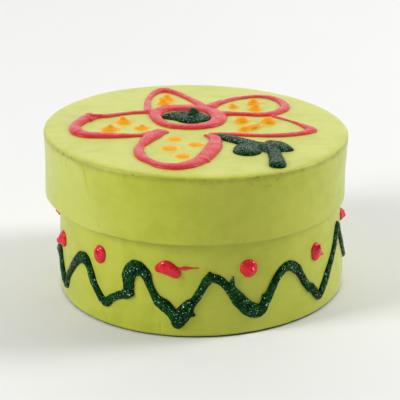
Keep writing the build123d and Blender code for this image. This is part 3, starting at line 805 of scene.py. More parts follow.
# ------------------------------------------------------- relief paint on the lid
# centre lines as (x, y, width), from the lid's centre
RING = [(-12.3, 8.27, 3.6), (-11.9, 12.37, 4), (-9.3, 15.76, 4.7), (-4.5, 17.24, 4.9), (0.5, 16.82, 4.9),
        (4.3, 14.56, 4.6), (6.5, 10.23, 4.8), (6.5, 5.23, 4.8), (4.5, 0.9, 4.4), (0.6, -1.4, 4), (-4, -1.8, 3.8),
        (-8.2, -0.6, 3.6), (-10.9, 3.3, 3.6)]
PETALS = {
    "back_left": [(-14.4, 12.98, 3.2), (-14.8, 16.46, 2.4), (-15, 19.45, 2.1), (-15.1, 24.43, 1.9),
                  (-14.3, 29.45, 2.1), (-13.2, 32.69, 2.6), (-11.8, 34.84, 3.2), (-10, 35.61, 3.6),
                  (-8.2, 34.88, 3.2), (-6, 32.77, 2.8), (-3.8, 29.85, 2.5), (-1.6, 26.54, 2.5), (0.3, 23.01, 2.6),
                  (1.8, 19.87, 3), (2.2, 18.38, 3.2)],
    "back_right": [(4.2, 18.55, 4.2), (5.4, 20.8, 3.4), (7.6, 23.88, 2.8), (10.8, 27.01, 2.5), (14.5, 29.55, 2.3),
                   (18.5, 31.06, 2.3), (22, 30.74, 2.6), (24.8, 28.54, 2.8), (26.8, 25.01, 2.7), (27.5, 20.82, 2.9),
                   (26.6, 17.17, 3), (24.4, 14.08, 3), (21.8, 11.98, 3.1), (18.5, 11.46, 3), (14.5, 11.72, 2.9),
                   (11, 11.89, 3), (8.8, 11.91, 3.4)],
    "right": [(22, 10.98, 1.3), (24.3, 9.36, 1.3), (27, 7.24, 1.3), (29.4, 4.82, 1.4), (31.5, 2.08, 2),
              (33.3, -0.67, 3.1), (33.9, -2.76, 3.4), (32.2, -4.83, 2.8), (28.5, -6.96, 2.5), (24, -8.31, 2.5),
              (19.5, -8.86, 2.5), (15, -8.61, 2.3), (10.5, -8.16, 2.4), (7, -8.27, 2.6), (4.6, -8.65, 2.6)],
    "front": [(2.7, -9.21, 1.2), (4, -10.07, 2.6), (5.4, -12.43, 3.6), (5.4, -16.03, 4.1), (4.5, -21.46, 4.6),
              (3.1, -26.41, 4.8), (1.3, -30.96, 4.7), (-1.4, -34.84, 4.5), (-4.4, -37.03, 4), (-7, -37.2, 3.8),
              (-9.8, -36.08, 3.4), (-12.4, -33.36, 3), (-14.8, -29.9, 3.2), (-15.9, -25.5, 2.9),
              (-16.1, -21.3, 2.6), (-14.9, -17.17, 3.1), (-13.5, -12.94, 4.6), (-12, -9.29, 5), (-10.7, -7.25, 4),
              (-9.4, -6.91, 2.4), (-8.4, -7.08, 1)],
    "left": [(-13.6, 12.11, 3), (-16, 12.13, 2.4), (-20, 10.99, 2.3), (-23.5, 9.37, 2.3), (-26.5, 7.76, 2.5),
             (-29.5, 6.96, 3.2), (-31.9, 5.9, 4.4), (-33.8, 2.3, 4.1), (-35.6, -3.4, 3.1), (-34.2, -8.73, 4),
             (-31.5, -10.93, 3.9), (-28.5, -11.23, 3.9), (-25, -11.31, 4.1), (-21.5, -11.3, 3.3), (-18, -10.59, 2.6),
             (-15.7, -9.91, 2.4), (-13.8, -8.85, 2.8)],
}
STEM = [(7.0, -10.1, 3.2), (10, -12.4, 4.2), (13.2, -15.1, 4.4), (16.5, -17.7, 4.9), (19.5, -19.6, 4.9),
        (21.7, -23.4, 4.1), (22.1, -27.6, 4.0), (22.3, -31.2, 4.6), (22.3, -34.0, 5.2)]
LEAF_LEFT = [(14.5, -20.64, 7.6), (14.3, -22.65, 7.8)]
LEAF_RIGHT = [(21.6, -16.2, 5.0), (23.0, -18.0, 6.4), (24.4, -20.0, 5.6), (26.3, -20.9, 2.4)]

CELL = 0.2
SINK = -0.12


def with_height(path, share=0.27, low=0.42, high=0.98):
    return [(x, y, w, min(high, max(low, share * w))) for x, y, w in path]


def plane_grid(x0, x1, y0, y1, cell=CELL):
    return np.meshgrid(np.arange(x0, x1 + cell, cell), np.arange(y0, y1 + cell, cell), indexing="ij")


def extent(path, pad):
    p = np.array(path)
    return (p[:, 0] - p[:, 2] / 2).min() - pad, (p[:, 0] + p[:, 2] / 2).max() + pad, \
        (p[:, 1] - p[:, 2] / 2).min() - pad, (p[:, 1] + p[:, 2] / 2).max() + pad


def flat_layer(Z, F, floor=SINK):
    """Closes the paint a little below the paper it sits on."""
    return np.maximum(F, floor - Z)


def relief_mesh(name, F, origin, cell, place, unwrap, around=False, rounds=3):
    """A mesh on F's zero level. place() puts (u, v, w) points in the row frame; unwrap() gives the map for
    (u, v, w) corner points, and is told which faces are underneath."""
    verts, faces = surface_nets(F, around)
    verts = relaxed(F, verts, faces, rounds, around)
    co = np.array(origin) + verts * cell
    span = F.shape[0] * cell
    fc = co[faces]
    if around:      # faces that cross the join are laid out past the end
        far = fc[:, :, 0].max(1) - fc[:, :, 0].min(1) > span / 2
        fc[far, :, 0] = np.where(fc[far, :, 0] < origin[0] + span / 2, fc[far, :, 0] + span, fc[far, :, 0])
    nrm = np.cross(fc[:, 2] - fc[:, 0], fc[:, 3] - fc[:, 1])
    under = (nrm[:, 2] < -0.6 * np.linalg.norm(nrm, axis=1)) & (fc[:, :, 2].mean(1) < -0.05)
    uv = unwrap(fc, under)
    P = place(co)
    tri = np.concatenate([faces[:, [0, 1, 2]], faces[:, [0, 2, 3]]])
    vol = np.einsum("ij,ij->i", P[tri[:, 0]], np.cross(P[tri[:, 1]], P[tri[:, 2]])).sum()
    if vol < 0:
        faces, uv = faces[:, ::-1], uv[:, ::-1]
    ob = make_mesh(name, P, np.ascontiguousarray(faces), np.ascontiguousarray(uv).reshape(-1, 2))
    return ob, co


def flat_unwrap(fc, under):
    """Seen from above, with the faces underneath in a small copy of their own."""
    lo, hi = fc[..., :2].min((0, 1)), fc[..., :2].max((0, 1))
    size = (hi - lo).max()
    uv = (fc[..., :2] - lo) / size
    # the top view is scaled down to leave a corner for the faces underneath
    uv = uv * 0.86
    uv[under] = 0.88 + (fc[under][..., :2] - lo) / size * 0.11
    return uv


def on_lid(co):
    P = np.stack([co[:, 0] + LX, co[:, 1], 0 * co[:, 2]], -1)
    P[:, 2] = H + co[:, 2] + top_dz(co[:, 0], co[:, 1]) + lid_drop(P[:, 0])
    return P


red_lines = [("ring", with_height(RING, 0.26), True)] + [(k, with_height(v), False) for k, v in PETALS.items()]
red_tips = {
    "left": [[(-31.8, 6.3, 0.3, 1.2), (-32.7, 7.4, 0.3, 0.85)],
             [(-31.2, 2.72, 0.45, 0.5), (-32.6, 4.26, 0.8, 0.4), (-31.2, 5.51, 0.8, 0.45), (-28.4, 6.6, 0.6, 0.35)],
             [(-33.9, -8.72, 0.0, 1.2), (-34.9, -9.75, 0.0, 0.8)]],
    "front": [
              [(1.4, -31.1, -0.2, 1.2), (2.9, -31.9, -0.1, 0.95)]],
}


def red_field(X, Y, Z, shift=None):
    """The red paint near the given grid, as one surface. shift lowers it, mm, at each plane point."""
    z3 = Z[None, None, :] + (0 if shift is None else shift[..., None])
    total = None
    x0, x1, y0, y1 = X.min(), X.max(), Y.min(), Y.max()
    for k, (name, path, closed) in enumerate(red_lines):
        e = extent(path, 1.0)
        if e[0] > x1 or e[1] < x0 or e[2] > y1 or e[3] < y0:
            continue
        Q, A, Hh, T = line_field(X, Y, path, wobble=0.13, seed=200 + 10 * k, closed=closed)
        Q3, A3, H3 = Q[..., None], A[..., None], Hh[..., None]
        zz = np.clip(z3, 0, None) / H3
        rad = (Q3 ** 2.5 + zz ** 2.5) ** 0.4
        scale = (A3 * Q3 ** 2 + H3 * zz ** 2) / (Q3 ** 2 + zz ** 2 + 1e-6)
        f = (rad - 1) * np.maximum(scale, 0.15)
        f = np.minimum(f, 6.0)
        for tip in red_tips.get(name, []):
            t = tip_field(X[..., None], Y[..., None], z3, tip)
            f = smin(f, t, 0.5)
        total = f if total is None else smin(total, f, 0.4)
    lumps = 0.05 * noise(X, Y, 0, 2.3, 301)[..., None] + 0.025 * fbm(X[..., None], Y[..., None], z3, 0.9, 303, 2)
    return total + lumps


def edge_distance(X, Y, path, closed):
    Q, A, Hh, T = line_field(X, Y, path, reach=3.0, closed=closed)
    return (np.minimum(Q, 30) - 1) * A


def red_piece(name, key):
    _, path, closed = next(r for r in red_lines if r[0] == key)
    e = extent(path, 1.6)
    X, Y = plane_grid(*e)
    Z = np.arange(-0.42, 2.0, CELL)
    own = edge_distance(X, Y, path, closed)
    others = np.full(X.shape, 30.0)
    for k, p, c in red_lines:
        if k != key:
            others = np.minimum(others, edge_distance(X, Y, p, c))
    beyond = np.clip((own - others) / 2, 0, None)
    F = red_field(X, Y, Z, shift=0.7 * beyond)
    F = np.maximum(F, (own - 1.6)[..., None])
    F = flat_layer(Z[None, None, :], F)
    ob, co = relief_mesh(name, F, (X[0, 0], Y[0, 0], Z[0]), CELL, on_lid, flat_unwrap)
    mark(ob, "height", co[:, 2])
    return ob


red = {key: red_piece("flower_ring_paint" if key == "ring" else f"petal_{key}_paint", key) for key, _, _ in red_lines}

# glitter paint: the flower's centre fills the ring and has a pulled-up tip; the leaf is one squeezed stroke with lobes
ring_curve = catmull(with_height(RING), closed=True)


def inside_curve(X, Y, curve):
    px, py = curve[:-1, 0], curve[:-1, 1]
    qx, qy = curve[1:, 0], curve[1:, 1]
    inside = np.zeros(X.shape, bool)
    for a, b, c, d in zip(px, py, qx, qy):
        hit = (b > Y) != (d > Y)
        with np.errstate(divide="ignore", invalid="ignore"):
            xx = (c - a) * (Y - b) / (d - b) + a
        inside ^= hit & (X < xx)
    return inside


def grit(X, Y, Z, amount=0.05, seed=0):
    return amount * fbm(X, Y, Z, 0.55, 400 + seed, 2, 0.7)


# the outline of the pool of paint in the middle of the ring
POOL = [(-10.9, 7.02), (-9.6, 10.26), (-6.6, 12.56), (-2.6, 13.11), (1.2, 12.34), (3.4, 10.02), (4.7, 7.67),
        (2.5, 3.99), (-1.5, 1.9), (-4.4, 3.0), (-6.4, 4.7), (-8.6, 5.6)]


def centre_piece():
    X, Y = plane_grid(-12.5, 7.6, -2.5, 18.2)
    Z = np.arange(-0.42, 3.2, CELL)
    outline = [(x, y, 0.2, 1.0) for x, y in POOL]
    Q, A, Hh, T = line_field(X, Y, outline, reach=12.0, closed=True)
    d = np.minimum(Q * A, 12.0)
    inside = inside_curve(X, Y, catmull(outline, closed=True))
    depth = np.where(inside, d, -d) + 0.18 * noise(X, Y, 0, 1.7, 411)
    w = np.clip(depth / 3.6, 0, 1)
    top = 1.2 + 0.12 * noise(X, Y, 0, 3.4, 413) + 0.09 * noise(X, Y, 0, 1.3, 415)
    height = top * np.sqrt(np.clip(1 - (1 - w) ** 2, 0, 1))
    F = (Z[None, None, :] - height[..., None]) * 0.75
    F = np.where(depth[..., None] < 0.25, np.maximum(F, -depth[..., None] + 0.0), F)
    X3, Y3, Z3 = X[..., None], Y[..., None], Z[None, None, :]
    tip = tip_field(X3, Y3, Z3, [(-1.0, 9.3, 0.2, 2.4), (-0.8, 9.7, 1.0, 1.7), (-0.7, 10.0, 1.6, 0.85), (-0.6, 10.1, 2.0, 0.4)])
    F = smin(F, tip, 0.5)
    F = F + grit(X3, Y3, Z3, 0.07, 3)
    F = flat_layer(Z3, F)
    ob, co = relief_mesh("flower_centre_paint", F, (X[0, 0], Y[0, 0], Z[0]), CELL, on_lid, flat_unwrap, rounds=2)
    mark(ob, "height", co[:, 2])
    return ob


def leaf_piece():
    X, Y = plane_grid(4.5, 28.0, -39.0, -7.0)
    Z = np.arange(-0.42, 2.2, CELL)
    X3, Y3, Z3 = X[..., None], Y[..., None], Z[None, None, :]
    stem = [(x, y, w, h) for (x, y, w), h in zip(STEM, (0.8, 1.0, 1.1, 1.15, 1.15, 1.15, 1.2, 1.4, 1.55))]
    left = [(x, y, w, h) for (x, y, w), h in zip(LEAF_LEFT, (1.1, 1.2))]
    right = [(x, y, w, h) for (x, y, w), h in zip(LEAF_RIGHT, (1.0, 1.3, 1.2, 0.9))]
    F = None
    for k, path in enumerate((stem, left, right)):
        Q, A, Hh, T = line_field(X, Y, path, wobble=0.12, seed=430 + 7 * k)
        f = np.minimum(raised(Q, A, Hh, Z), 6.0)
        F = f if F is None else smin(F, f, 0.55)
    F = F + 0.06 * noise(X3, Y3, 0, 2.2, 441) + grit(X3, Y3, Z3, 0.06, 5)
    F = flat_layer(Z3, F)
    ob, co = relief_mesh("stem_and_leaf_paint", F, (X[0, 0], Y[0, 0], Z[0]), CELL, on_lid, flat_unwrap, rounds=2)
    mark(ob, "height", co[:, 2])
    return ob


centre = centre_piece()
leaf = leaf_piece()

# orange dots: each is (x, y, radius, dome height, [tip points as x, y, z, radius from the dot's own centre])
DOTS = {
    "back_left": [(-9.2, 25.9, 2.35, 0.95, [(0, 0, 0.3, 1.4), (0.1, 0.1, 0.75, 1.1)]),
                  (-9.9, 21.0, 2.0, 1.0, [(0, 0, 0.2, 1.5), (-0.2, 0.1, 0.7, 1.1)])],
    "back_right": [(11.4, 19.2, 1.7, 0.7, [(0, 0, 0.2, 0.9), (-0.2, 0.2, 0.65, 0.55), (-0.4, 0.2, 1.05, 0.25)]),
                   (17.7, 23.1, 2.05, 1.1, [(0, 0, 0.4, 1.5), (0.1, 0, 0.85, 1.1)]),
                   (18.1, 17.4, 2.0, 1.0, [(0, 0, 0.3, 1.4), (0.3, 0, 0.8, 0.95)])],
    "right": [(13.6, 4.4, 2.0, 1.55, [(0, 0, 0.4, 1.5), (0.2, 0.0, 0.75, 1.0)]),
              (21.5, 4.4, 2.15, 1.55, [(0, 0, 0.4, 1.5), (0.4, 0.0, 0.75, 1.0)]),
              (14.1, -3.9, 1.8, 0.9, [(0, 0, 0.2, 1.1), (2.2, 1.9, 0.3, 0.95), (4.1, 3.3, 0.25, 0.8)]),
              (17.9, -0.7, 1.3, 0.75, [(-1.2, -1.0, 0.3, 0.8), (0.4, 0.4, 0.5, 0.65)])],
    "front": [(-6.2, -12.6, 1.95, 0.55, []),
              (-0.2, -17.3, 2.05, 0.6, []),
              (-7.5, -21.0, 2.15, 0.6, []),
              (-3.7, -27.6, 2.0, 0.65, [])],
    "left": [(-21.5, 2.1, 2.4, 0.9, [(0, 0, 0.3, 1.5), (-0.2, 0.1, 0.85, 1.05), (-0.3, 0.1, 1.2, 0.6)]),
             (-25.3, -5.3, 2.4, 0.85, [(0, 0, 0.3, 1.4), (0.2, 0.1, 0.75, 0.95), (0.4, 0.1, 1.1, 0.5)]),
             (-16.0, -3.3, 2.05, 0.75, [(0, 0, 0.1, 1.1), (0.1, 0.1, 0.5, 0.7)])],
}


def dots_piece(key, seed):
    rows = DOTS[key]
    cell = 0.15
    pad = 1.4
    x0 = min(x - r for x, y, r, h, t in rows) - pad
    x1 = max(x + r + max([p[0] for p in t] + [0]) for x, y, r, h, t in rows) + pad
    y0 = min(y - r + min([p[1] for p in t] + [0]) for x, y, r, h, t in rows) - pad
    y1 = max(y + r + max([p[1] for p in t] + [0]) for x, y, r, h, t in rows) + pad
    X, Y = plane_grid(x0, x1, y0, y1, cell)
    Z = np.arange(-0.33, 2.9, cell)
    X3, Y3, Z3 = X[..., None], Y[..., None], Z[None, None, :]
    F = None
    for k, (x, y, r, h, tip) in enumerate(rows):
        ang = np.arctan2(Y - y, X - x)
        rr = r * (1 + 0.12 * noise(np.cos(ang) * 2, np.sin(ang) * 2, 0, 1.3, seed + 9 * k)
                  + 0.05 * noise(np.cos(ang) * 5, np.sin(ang) * 5, 0, 1.1, seed + 9 * k + 1))
        q = np.hypot(X - x, Y - y) / rr
        f = raised(q, rr, np.full(X.shape, h), Z, power=2.0)
        skirt = raised(q / 1.4, rr * 1.4, np.full(X.shape, 0.17), Z, power=2.0)
        f = smin(np.minimum(f, 5.0), np.minimum(skirt, 5.0), 0.25)
        if tip:
            f = smin(f, tip_field(X3, Y3, Z3, [(x + p[0], y + p[1], p[2], p[3]) for p in tip]), 0.55)
        F = f if F is None else smin(F, f, 0.3)
    F = F + 0.035 * noise(X3, Y3, Z3, 1.0, seed + 77)
    F = flat_layer(Z3, F)
    ob, co = relief_mesh(f"petal_dots_{key}_paint", F, (X[0, 0], Y[0, 0], Z[0]), cell, on_lid, flat_unwrap)
    mark(ob, "height", co[:, 2])
    return ob


dots = {key: dots_piece(key, 500 + 20 * k) for k, key in enumerate(DOTS)}


# ------------------------------------------------------ relief paint on the base
# (degrees from the front, height, width) of the zigzag's centre line
ZIGZAG = [(-84.0, 11.8, 2.4), (-79.5, 13.8, 2.4), (-76.6, 15.2, 2.5), (-74.9, 14.0, 2.6), (-73.6, 12.0, 2.7),
          (-71.5, 9.6, 2.8), (-69.9, 7.6, 2.9), (-68.0, 5.8, 2.8), (-66.8, 5.4, 2.5), (-65.4, 7.2, 2.2),
          (-63.8, 9.5, 2.2), (-60.8, 12.3, 2.4), (-57.1, 15.5, 2.9), (-53.8, 17.5, 3.3), (-50.6, 18.1, 3.4),
          (-48.4, 16.9, 3.0), (-47.0, 15.0, 2.6), (-46.0, 12.9, 2.5), (-44.3, 10.9, 2.4), (-42.2, 9.0, 2.4),
          (-40.3, 7.6, 2.5), (-38.4, 7.3, 2.5), (-36.4, 8.8, 2.3), (-32.5, 10.6, 2.3), (-28.9, 11.6, 3.0), (-28.1, 14.0, 3.3), (-27.9, 17.7, 3.8),
          (-24.9, 20.1, 4.2), (-21.1, 18.7, 3.2), (-19.6, 15.7, 2.3), (-18.0, 13.2, 2.5), (-16.2, 11.1, 3.3),
          (-13.6, 9.6, 4.0), (-11.6, 8.1, 3.7), (-9.9, 6.3, 3.5), (-8.8, 4.6, 3.3), (-7.4, 6.3, 3.8),
          (-6.0, 8.1, 4.0), (-4.3, 10.1, 2.9), (-2.2, 11.9, 2.3), (-0.6, 13.9, 2.2), (1.0, 16.0, 2.3),
          (2.6, 17.8, 2.8), (4.0, 18.4, 2.9), (6.9, 17.5, 2.8), (9.3, 15.7, 2.4), (11.7, 13.8, 3.1),
          (14.5, 10.9, 4.1), (18.0, 8.1, 4.5), (21.4, 6.8, 4.1), (23.4, 7.2, 3.6), (25.0, 9.0, 3.0),
          (27.3, 11.8, 2.6), (29.9, 15.3, 2.5), (33.2, 17.8, 2.8), (36.4, 18.2, 2.9), (39.7, 16.7, 2.8),
          (42.1, 14.3, 2.5), (44.5, 11.3, 2.3), (47.0, 9.2, 2.5), (48.9, 8.4, 2.6), (50.9, 6.3, 2.7),
          (52.9, 5.2, 2.5), (55.3, 7.1, 2.8), (60.6, 11.8, 2.5), (65.3, 15.6, 2.4), (69.3, 19.5, 2.6),
          (71.3, 22.0, 2.5), (72.7, 21.7, 2.2), (74.4, 19.6, 2.2), (76.6, 16.9, 2.2), (79.2, 14.1, 2.2),
          (82.0, 11.5, 2.3), (85.0, 9.5, 2.4), (88.5, 8.2, 2.6), (92.5, 8.0, 2.8), (96.4, 9.4, 2.9), (99.6, 13.6, 3.0),
          (102.6, 19.0, 3.0), (105.4, 21.0, 3.2), (108.0, 18.6, 3.2), (112.0, 12.2, 3.0), (115.6, 6.8, 3.0), (118.8, 5.2, 3.3),
          (122.0, 7.6, 3.2), (127.0, 13.6, 2.9), (132.0, 18.6, 3.0), (135.5, 19.4, 3.4), (139.0, 16.4, 3.2),
          (144.0, 10.8, 2.8), (149.0, 7.0, 3.0), (152.5, 6.6, 3.3), (156.0, 9.6, 3.0), (161.0, 15.4, 2.8),
          (166.0, 20.0, 3.0), (169.5, 20.8, 3.3), (173.0, 17.6, 3.2), (178.0, 10.8, 3.0), (183.0, 5.6, 3.1),
          (186.5, 4.8, 3.3), (190.0, 7.8, 3.1), (195.0, 13.6, 2.8), (200.0, 18.0, 3.0), (203.5, 18.9, 3.4),
          (207.0, 16.2, 3.2), (212.0, 10.6, 3.0), (216.5, 6.6, 3.1), (220.5, 6.0, 3.4), (225.0, 8.4, 3.1),
          (230.5, 13.6, 2.8), (236.0, 18.6, 3.0), (240.5, 20.0, 3.2), (245.0, 17.2, 3.2), (250.5, 11.4, 3.0),
          (256.5, 6.6, 3.0), (261.5, 5.4, 3.2), (266.0, 7.2, 3.0), (270.5, 10.2, 2.7)]

# short extra squeezes: (degrees, height, width, thickness)
ZIGZAG_SPURS = [
    [(-29.6, 11.5, 2.8, 0.9), (-28.0, 12.0, 2.7, 1), (-27.0, 12.1, 2, 0.9)],
    [(-6.0, 8.3, 2.6, 1), (-4.0, 7.6, 1.7, 1.1), (-2.8, 7.1, 0.9, 0.8)],
    [(11.3, 15.1, 2, 0.9), (11.8, 16.7, 1.2, 0.9), (12.1, 18.1, 0.5, 0.6)],
    [(25.4, 10.2, 2.4, 1.1), (24.7, 10.7, 1.9, 1)],
    [(-7.8, 8.7, 2.2, 1.1), (-6.3, 9.7, 2.2, 1.1), (-4.9, 11.1, 1.6, 0.9)],
    [(3.4, 18.6, 2.0, 1), (3.2, 19.8, 0.9, 0.8)],
    [(47.1, 9.4, 2.2, 1), (48.1, 9.4, 1.9, 1)],
    [(-14.1, 10.5, 2.4, 1), (-12.9, 10.1, 2.2, 1)],
    [(113.0, 10.4, 2, 1.1), (111.6, 9.9, 1.3, 0.9)],
    [(133.2, 20.4, 1.6, 0.9), (132.2, 21.8, 0.6, 0.7)],
    [(190.4, 5.8, 2, 1.1), (192.0, 5.2, 1.2, 0.8)],
    [(246.6, 11.0, 2.4, 1.2), (247.8, 12.0, 1.5, 0.9)],
]

TURN = 2 * math.pi * BASE_R
COLUMNS = 1335
ZCELL = TURN / COLUMNS


def along(deg):
    return BASE_R * math.radians(deg + 90)


def on_base(co):
    a = co[:, 0] / BASE_R - math.pi / 2
    r = BASE_R + co[:, 2] + base_dr(a, co[:, 1]) + base_out(a, co[:, 1])
    return np.stack([r * np.sin(a), -r * np.cos(a), co[:, 1]], -1)


def strip_unwrap(count, length, v_low):
    def unwrap(fc, under):
        k = np.clip((fc[..., 0].mean(1) // length).astype(int), 0, count - 1)
        scale = 0.97 / (length + 3)
        rows = 26.0 * scale
        u = (fc[..., 0] - (k * length)[:, None] + 1.5) * scale
        v = (fc[..., 1] - v_low) * scale + (k * rows)[:, None]
        uv = np.stack([u, v], -1)
        uv[under] = np.stack([u[under] * 0.2 + 0.01, v[under] * 0.16 + count * rows + 0.01], -1)
        return uv
    return unwrap


def zigzag_piece():
    s = np.arange(COLUMNS) * ZCELL
    z = np.arange(1.0, 27.0, ZCELL)
    X, Y = np.meshgrid(s, z, indexing="ij")
    W = np.arange(-0.42, 1.9, ZCELL)
    rows = ZIGZAG + [(ZIGZAG[0][0] + 360,) + ZIGZAG[0][1:], (ZIGZAG[1][0] + 360,) + ZIGZAG[1][1:]]
    path = [(along(d), zz, w, min(1.3, max(0.85, 0.36 * w))) for d, zz, w in rows]
    Q, A, Hh, T = line_field(X, Y, path, wobble=0.15, seed=600, turn=TURN)
    F = np.minimum(raised(Q, A, Hh, W), 5.0)
    for k, spur in enumerate(ZIGZAG_SPURS):
        p = [(along(d), zz, w, h) for d, zz, w, h in spur]
        Q, A, Hh, T = line_field(X, Y, p, turn=TURN)
        F = smin(F, np.minimum(raised(Q, A, Hh, W), 5.0), 0.4)
    a = (X / BASE_R)[..., None]
    cx, cy = BASE_R * np.sin(a), BASE_R * np.cos(a)
    F = F + 0.06 * noise(cx, cy, Y[..., None], 1.9, 611) + 0.05 * noise(cx, cy, Y[..., None] * 1.0, 0.9, 613)
    F = F + 0.07 * fbm(cx + 0 * W, cy + 0 * W, Y[..., None] + 0.7 * W, 0.6, 615, 2, 0.7)
    F = flat_layer(W[None, None, :], F)
    ob, co = relief_mesh("zigzag_paint", F, (s[0], z[0], W[0]), ZCELL, on_base, strip_unwrap(3, TURN / 3, 1.0),
                         around=True, rounds=2)
    mark(ob, "height", co[:, 2])
    return ob


zigzag = zigzag_piece()

# (degrees, height, half width, half height, lean in degrees, thickness, tip points as s, z, out, radius)
SIDE_DOTS = [
    (-41.5, 21.4, 2.2, 2.95, -12, 1.15, [(-0.2, 0.5, 0.5, 1.1), (-0.3, 0.9, 1.25, 0.55), (-0.2, 0.9, 1.5, 0.3)]),
    (-12.7, 21.0, 2.2, 1.9, 0, 1.1, [(-0.9, 0.7, 0.5, 0.9), (-0.9, 1.1, 1.25, 0.4)]),
    (18.3, 20.1, 2.6, 2.6, 0, 1.25, [(0.3, -0.2, 0.6, 1.3), (0.5, -0.3, 1.35, 0.7)]),
    (51.5, 19.2, 2.35, 2.6, 6, 1.1, [(-0.2, 0.6, 0.5, 1.2), (0, 1.5, 1.3, 0.5), (0.1, 2.3, 1.4, 0.2)]),
    (84.0, 22.3, 2.4, 1.9, 0, 1.05, [(0.2, -0.1, 0.4, 1.4), (0.2, -0.4, 0.75, 0.9)]),
    (118.0, 20.4, 2.4, 2.5, 8, 1.1, [(0.2, 0.3, 0.5, 1.2), (0.4, 0.6, 1.45, 0.4)]),
    (153.0, 21.0, 2.6, 2.4, -10, 1.2, [(-0.2, 0.3, 0.6, 1.3), (-0.4, 0.4, 1.6, 0.35)]),
    (186.0, 19.8, 2.2, 2.4, 0, 1.1, [(0.1, 0.2, 0.5, 1.2), (0.4, 0.3, 1.35, 0.5)]),
    (221.0, 20.8, 2.5, 2.6, 14, 1.15, [(0.2, 0.4, 0.5, 1.3), (0.3, 0.8, 1.5, 0.35)]),
    (267.5, 21.5, 2.2, 1.5, 0, 1.15, [(-0.2, 0.0, 0.6, 1.0), (-0.2, 0.0, 1.3, 0.5)]),
    (-70.7, 18.8, 2.6, 2.5, -8, 1.2, [(-0.5, -0.3, 0.5, 1.4), (-0.9, -0.7, 1.0, 1.05)]),
]
SIDE_EXTRAS = {
    1: [[(-15.9, 20.7, 2.3, 0.8), (-13.2, 21.4, 3.9, 1.15), (-11.2, 20.6, 3.8, 1.2), (-9.5, 19.7, 3.1, 1)],
        [(-9.4, 20.7, 1.3, 0.5), (-7.5, 21.1, 0.8, 0.35), (-6.0, 21.3, 1.2, 0.4), (-4.2, 21.35, 0.7, 0.25), (-0.9, 21.4, 0.35, 0.16)]],
    3: [[(53.3, 18.4, 1.5, 0.7), (55.2, 17.7, 0.8, 0.6), (56.4, 17.2, 0.5, 0.4)]],
}


def side_dots_piece():
    cell = 0.15
    all_v, all_f, all_uv, all_h = [], [], [], []
    start = 0
    for k, (deg, zc, rs, rz, lean, h, tip) in enumerate(SIDE_DOTS):
        s0 = along(deg) if deg > -89 else along(deg + 360)
        extra = SIDE_EXTRAS.get(k, [])
        span = [along(p[0]) for line in extra for p in line] + [s0]
        X, Y = plane_grid(min(span) - rs - 1.6, max(span) + rs + 1.6, zc - rz - 2.0, zc + rz + 2.0, cell)
        W = np.arange(-0.33, 2.7, cell)
        c, s_ = math.cos(math.radians(lean)), math.sin(math.radians(lean))
        dx, dz = X - s0, Y - zc
        ex, ez = c * dx + s_ * dz, -s_ * dx + c * dz
        ang = np.arctan2(ez, ex)
        wob = 1 + 0.09 * noise(np.cos(ang) * 2, np.sin(ang) * 2, 0, 1.3, 700 + 11 * k)
        q = np.hypot(ex / (rs * wob), ez / (rz * wob))
        A = np.full(X.shape, (rs + rz) / 2)
        F = np.minimum(raised(q, A, np.full(X.shape, h), W, power=2.1), 5.0)
        X3, Y3, W3 = X[..., None], Y[..., None], W[None, None, :]
        F = smin(F, tip_field(X3, Y3, W3, [(s0 + p[0], zc + p[1], p[2], p[3]) for p in tip]), 0.7)
        for line in extra:
            Q, A, Hh, T = line_field(X, Y, [(along(p[0]), p[1], p[2], p[3]) for p in line])
            F = smin(F, np.minimum(raised(Q, A, Hh, W), 5.0), 0.35)
        F = F + 0.05 * noise(X3, Y3, W3, 1.2, 720 + k)
        F = flat_layer(W3, F)
        verts, faces = surface_nets(F)
        verts = relaxed(F, verts, faces, 3)
        co = np.array([X[0, 0], Y[0, 0], W[0]]) + verts * cell
        fc = co[faces]
        nrm = np.cross(fc[:, 2] - fc[:, 0], fc[:, 3] - fc[:, 1])
        under = (nrm[:, 2] < -0.6 * np.linalg.norm(nrm, axis=1)) & (fc[:, :, 2].mean(1) < -0.05)
        tile = np.array([k % 4, k // 4])
        lo = fc[..., :2].min((0, 1))
        size = max((fc[..., :2].max((0, 1)) - lo).max(), 1e-3)
        uv = (fc[..., :2] - lo) / size
        uv = (tile + 0.02 + uv * 0.80) / 4
        uv[under] = (tile + np.array([0.84, 0.02]) + (fc[under][..., :2] - lo) / size * 0.14) / 4
        P = on_base(co)
        tri = np.concatenate([faces[:, [0, 1, 2]], faces[:, [0, 2, 3]]])
        if np.einsum("ij,ij->i", P[tri[:, 0]], np.cross(P[tri[:, 1]], P[tri[:, 2]])).sum() < 0:
            faces, uv = faces[:, ::-1], uv[:, ::-1]
        all_v.append(P)
        all_f.append(faces + start)
        all_uv.append(uv.reshape(-1, 2))
        all_h.append(co[:, 2])
        start += len(P)
    ob = make_mesh("side_dots_paint", np.concatenate(all_v), np.concatenate(all_f), np.concatenate(all_uv))
    mark(ob, "height", np.concatenate(all_h))
    return ob


side_dots = side_dots_piece()


